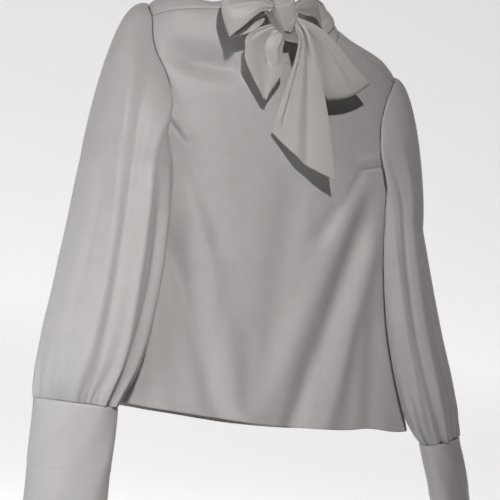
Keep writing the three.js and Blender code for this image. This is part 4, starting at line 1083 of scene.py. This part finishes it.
# Stitches of one shape along a line, each turned along it, a little uneven.
def stitchGroup():
    group = bpy.data.node_groups.new("stitchRow", "GeometryNodeTree")
    socket = group.interface.new_socket
    socket("Geometry", in_out="INPUT", socket_type="NodeSocketGeometry")
    for name in ("Spacing", "Length", "Radius"):
        socket(name, in_out="INPUT", socket_type="NodeSocketFloat")
    socket("Seed", in_out="INPUT", socket_type="NodeSocketInt")
    socket("Material", in_out="INPUT", socket_type="NodeSocketMaterial")
    socket("Geometry", in_out="OUTPUT", socket_type="NodeSocketGeometry")
    made = wire(group, {
        "given": "NodeGroupInput", "result": "NodeGroupOutput", "curve": "GeometryNodeMeshToCurve",
        "even": "GeometryNodeResampleCurve", "tangent": "GeometryNodeInputTangent",
        "turn": "FunctionNodeAlignRotationToVector", "stitch": "GeometryNodeMeshCylinder",
        "rows": "GeometryNodeInstanceOnPoints", "uneven": "FunctionNodeRandomValue",
        "real": "GeometryNodeRealizeInstances", "coat": "GeometryNodeSetMaterial",
    }, ())
    # the length of the steps is an input only in this mode, so it is set before the links
    made["even"].mode = "LENGTH"
    made["turn"].axis = "Z"
    wire(group, {}, (
        ("given", "Geometry", "curve", "Mesh"), ("curve", "Curve", "even", "Curve"),
        ("given", "Spacing", "even", "Length"), ("even", "Curve", "rows", "Points"),
        ("tangent", "Tangent", "turn", "Vector"), ("turn", "Rotation", "rows", "Rotation"),
        ("given", "Length", "stitch", "Depth"), ("given", "Radius", "stitch", "Radius"),
        ("stitch", "Mesh", "rows", "Instance"), ("given", "Seed", "uneven", "Seed"),
        ("uneven", "Value", "rows", "Scale"), ("rows", "Instances", "real", "Geometry"),
        ("real", "Geometry", "coat", "Geometry"), ("given", "Material", "coat", "Material"),
        ("coat", "Geometry", "result", "Geometry"),
    ), made)
    fill(made["stitch"], {"Vertices": 6})
    fill(made["uneven"], {"Min": 0.9, "Max": 1.08})
    return group


stitchRow = stitchGroup()


def makeStitches(name, line):
    mesh = bpy.data.meshes.new(name + "Line")
    points = lifted(line) * metre
    mesh.from_pydata(points.tolist(), [(i, i + 1) for i in range(len(points) - 1)], [])
    guide = bpy.data.objects.new(name + "Line", mesh)
    bpy.context.collection.objects.link(guide)
    rows = guide.modifiers.new("stitches", "NODES")
    rows.node_group = stitchRow
    values = {name.capitalize(): stitchSettings[name] * metre for name in ("spacing", "length", "radius")}
    values.update({"Seed": stitchSettings["seed"], "Material": sewingThread})
    for item in stitchRow.interface.items_tree:
        if item.in_out == "INPUT" and item.name in values:
            rows[item.identifier] = values[item.name]
    bpy.context.view_layer.update()
    depsgraph = bpy.context.evaluated_depsgraph_get()
    piece = bpy.data.objects.new(name, bpy.data.meshes.new_from_object(guide.evaluated_get(depsgraph)))
    bpy.data.objects.remove(guide)
    bpy.context.collection.objects.link(piece)
    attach(piece, "root")


# A row along the hem, at the same height above its edge all the way.
def hemStitches(name, grid, outward):
    fromHem = edgeRuns(grid)[2]
    row = np.argmax(fromHem > stitchSettings["hemRow"], axis=0)
    columns = np.arange(2, grid.shape[1] - 2)
    line = grid[row[columns], columns] + outward[row[columns], columns] * stitchSettings["lift"]
    makeStitches(name, line)


hemStitches("hemStitchesFront", frontGrid, frontOut)
for side, (panel, out) in backGrids.items():
    hemStitches("hemStitchesBackRight" if side > 0 else "hemStitchesBackLeft", panel, out)
print("stitches made")

# Floor, light
studio = {
    "floorZ": -0.98, "floorColor": (0.88, 0.87, 0.875), "glow": 0.74, "glowFromY": 0.5, "glowToY": 1.8,
    "worldColor": (0.96, 0.97, 1.0), "worldStrength": 0.015, "worldSeen": 0.7,
    "reach": 7.0, "bendY": 2.2, "bendRadius": 0.8, "rise": 5.0,
    "key": {"toward": (-0.16, -0.06, -0.5), "from": (-0.21, -0.81, 0.56), "origin": (0, -0.08, -0.1),
            "distance": 2.2, "size": 0.13, "power": 2.3, "spread": 50, "color": (1, 0.985, 0.965)},
    "side": {"toward": (-0.1, -0.06, -0.35), "place": (-0.8, -0.46, -0.62), "size": 0.35, "power": 2.0,
             "spread": 180, "color": (0.97, 0.985, 1.0)},
}


def addLamp(name, place, look):
    data = bpy.data.lights.new(name, "AREA")
    data.shape = "DISK"
    data.size = look["size"]
    data.energy = look["power"]
    data.color = look["color"]
    data.spread = math.radians(look["spread"])
    lamp = bpy.data.objects.new(name, data)
    lamp.location = place
    lamp.rotation_mode = "QUATERNION"
    lamp.rotation_quaternion = (Vector(place) - Vector(look["toward"])).to_track_quat("Z", "Y")
    lamp.visible_camera = False
    bpy.context.collection.objects.link(lamp)


def addStudio(s):
    floor = bpy.data.objects.new("floor", bpy.data.meshes.new("floor"))
    reach, radius = s["reach"], s["bendRadius"]
    profile = [(-reach, 0.0)]
    for b in np.linspace(0, math.pi / 2, 12):
        profile.append((s["bendY"] + radius * math.sin(b), radius - radius * math.cos(b)))
    profile.append((s["bendY"] + radius, s["rise"]))
    verts = [(x, y, s["floorZ"] + z) for x in (-reach, reach) for y, z in profile]
    n = len(profile)
    floor.data.from_pydata(verts, [], [(i, n + i, n + i + 1, i + 1) for i in range(n - 1)])
    floor.data.shade_smooth()
    paleFloor = plainMaterial("paleFloor", s["floorColor"], 0.7, 0.01)
    glow = paleFloor.node_tree.nodes["Principled BSDF"]
    fill(glow, {"Emission Color": (*s["floorColor"], 1)})
    # the floor is pale to the eye everywhere, but only its far part lights the blouse
    made = wire(paleFloor.node_tree, {
        "place": "ShaderNodeTexCoord", "parts": "ShaderNodeSeparateXYZ", "fade": "ShaderNodeMapRange",
        "path": "ShaderNodeLightPath", "most": "ShaderNodeMath", "power": "ShaderNodeMath",
    }, (
        ("place", "Object", "parts", "Vector"), ("parts", "Y", "fade", "Value"),
        ("fade", "Result", "most", 0), ("path", "Is Camera Ray", "most", 1), ("most", "Value", "power", 0),
        ("power", "Value", "glow", "Emission Strength"),
    ), {"glow": glow})
    made["most"].operation = "MAXIMUM"
    made["power"].operation = "MULTIPLY"
    fill(made["power"], {1: s["glow"]})
    fill(made["fade"], {"From Min": s["glowFromY"], "From Max": s["glowToY"]})
    floor.data.materials.append(paleFloor)
    bpy.context.collection.objects.link(floor)
    world = bpy.data.worlds.new("studioLight")
    world.use_nodes = True
    nodes = world.node_tree.nodes
    made = wire(world.node_tree, {
        "pale": "ShaderNodeBackground", "sight": "ShaderNodeLightPath", "both": "ShaderNodeMixShader",
    }, (
        ("sight", "Is Camera Ray", "both", "Fac"), ("dim", "Background", "both", 1),
        ("pale", "Background", "both", 2), ("both", "Shader", "output", "Surface"),
    ), {"dim": nodes["Background"], "output": nodes["World Output"]})
    for sky, strength in (("dim", s["worldStrength"]), ("pale", s["worldSeen"])):
        fill(made[sky], {"Color": (*s["worldColor"], 1), "Strength": strength})
    bpy.context.scene.world = world
    key = s["key"]
    keyPlace = Vector(key["from"]).normalized() * key["distance"] + Vector(key["origin"])
    addLamp("keyLight", keyPlace, key)
    addLamp("sideLight", s["side"]["place"], s["side"])
    bpy.context.scene.view_settings.view_transform = "Standard"


addStudio(studio)
print("studio set")

# CAD nodes that stay: the buttons and the thread loop, with better materials
for node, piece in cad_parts.items():
    if node.startswith("button") or node == "loop_neck":
        piece.data.materials.clear()
        piece.data.materials.append(sewingThread if node == "loop_neck" else buttonShell)

bpy.context.view_layer.update()
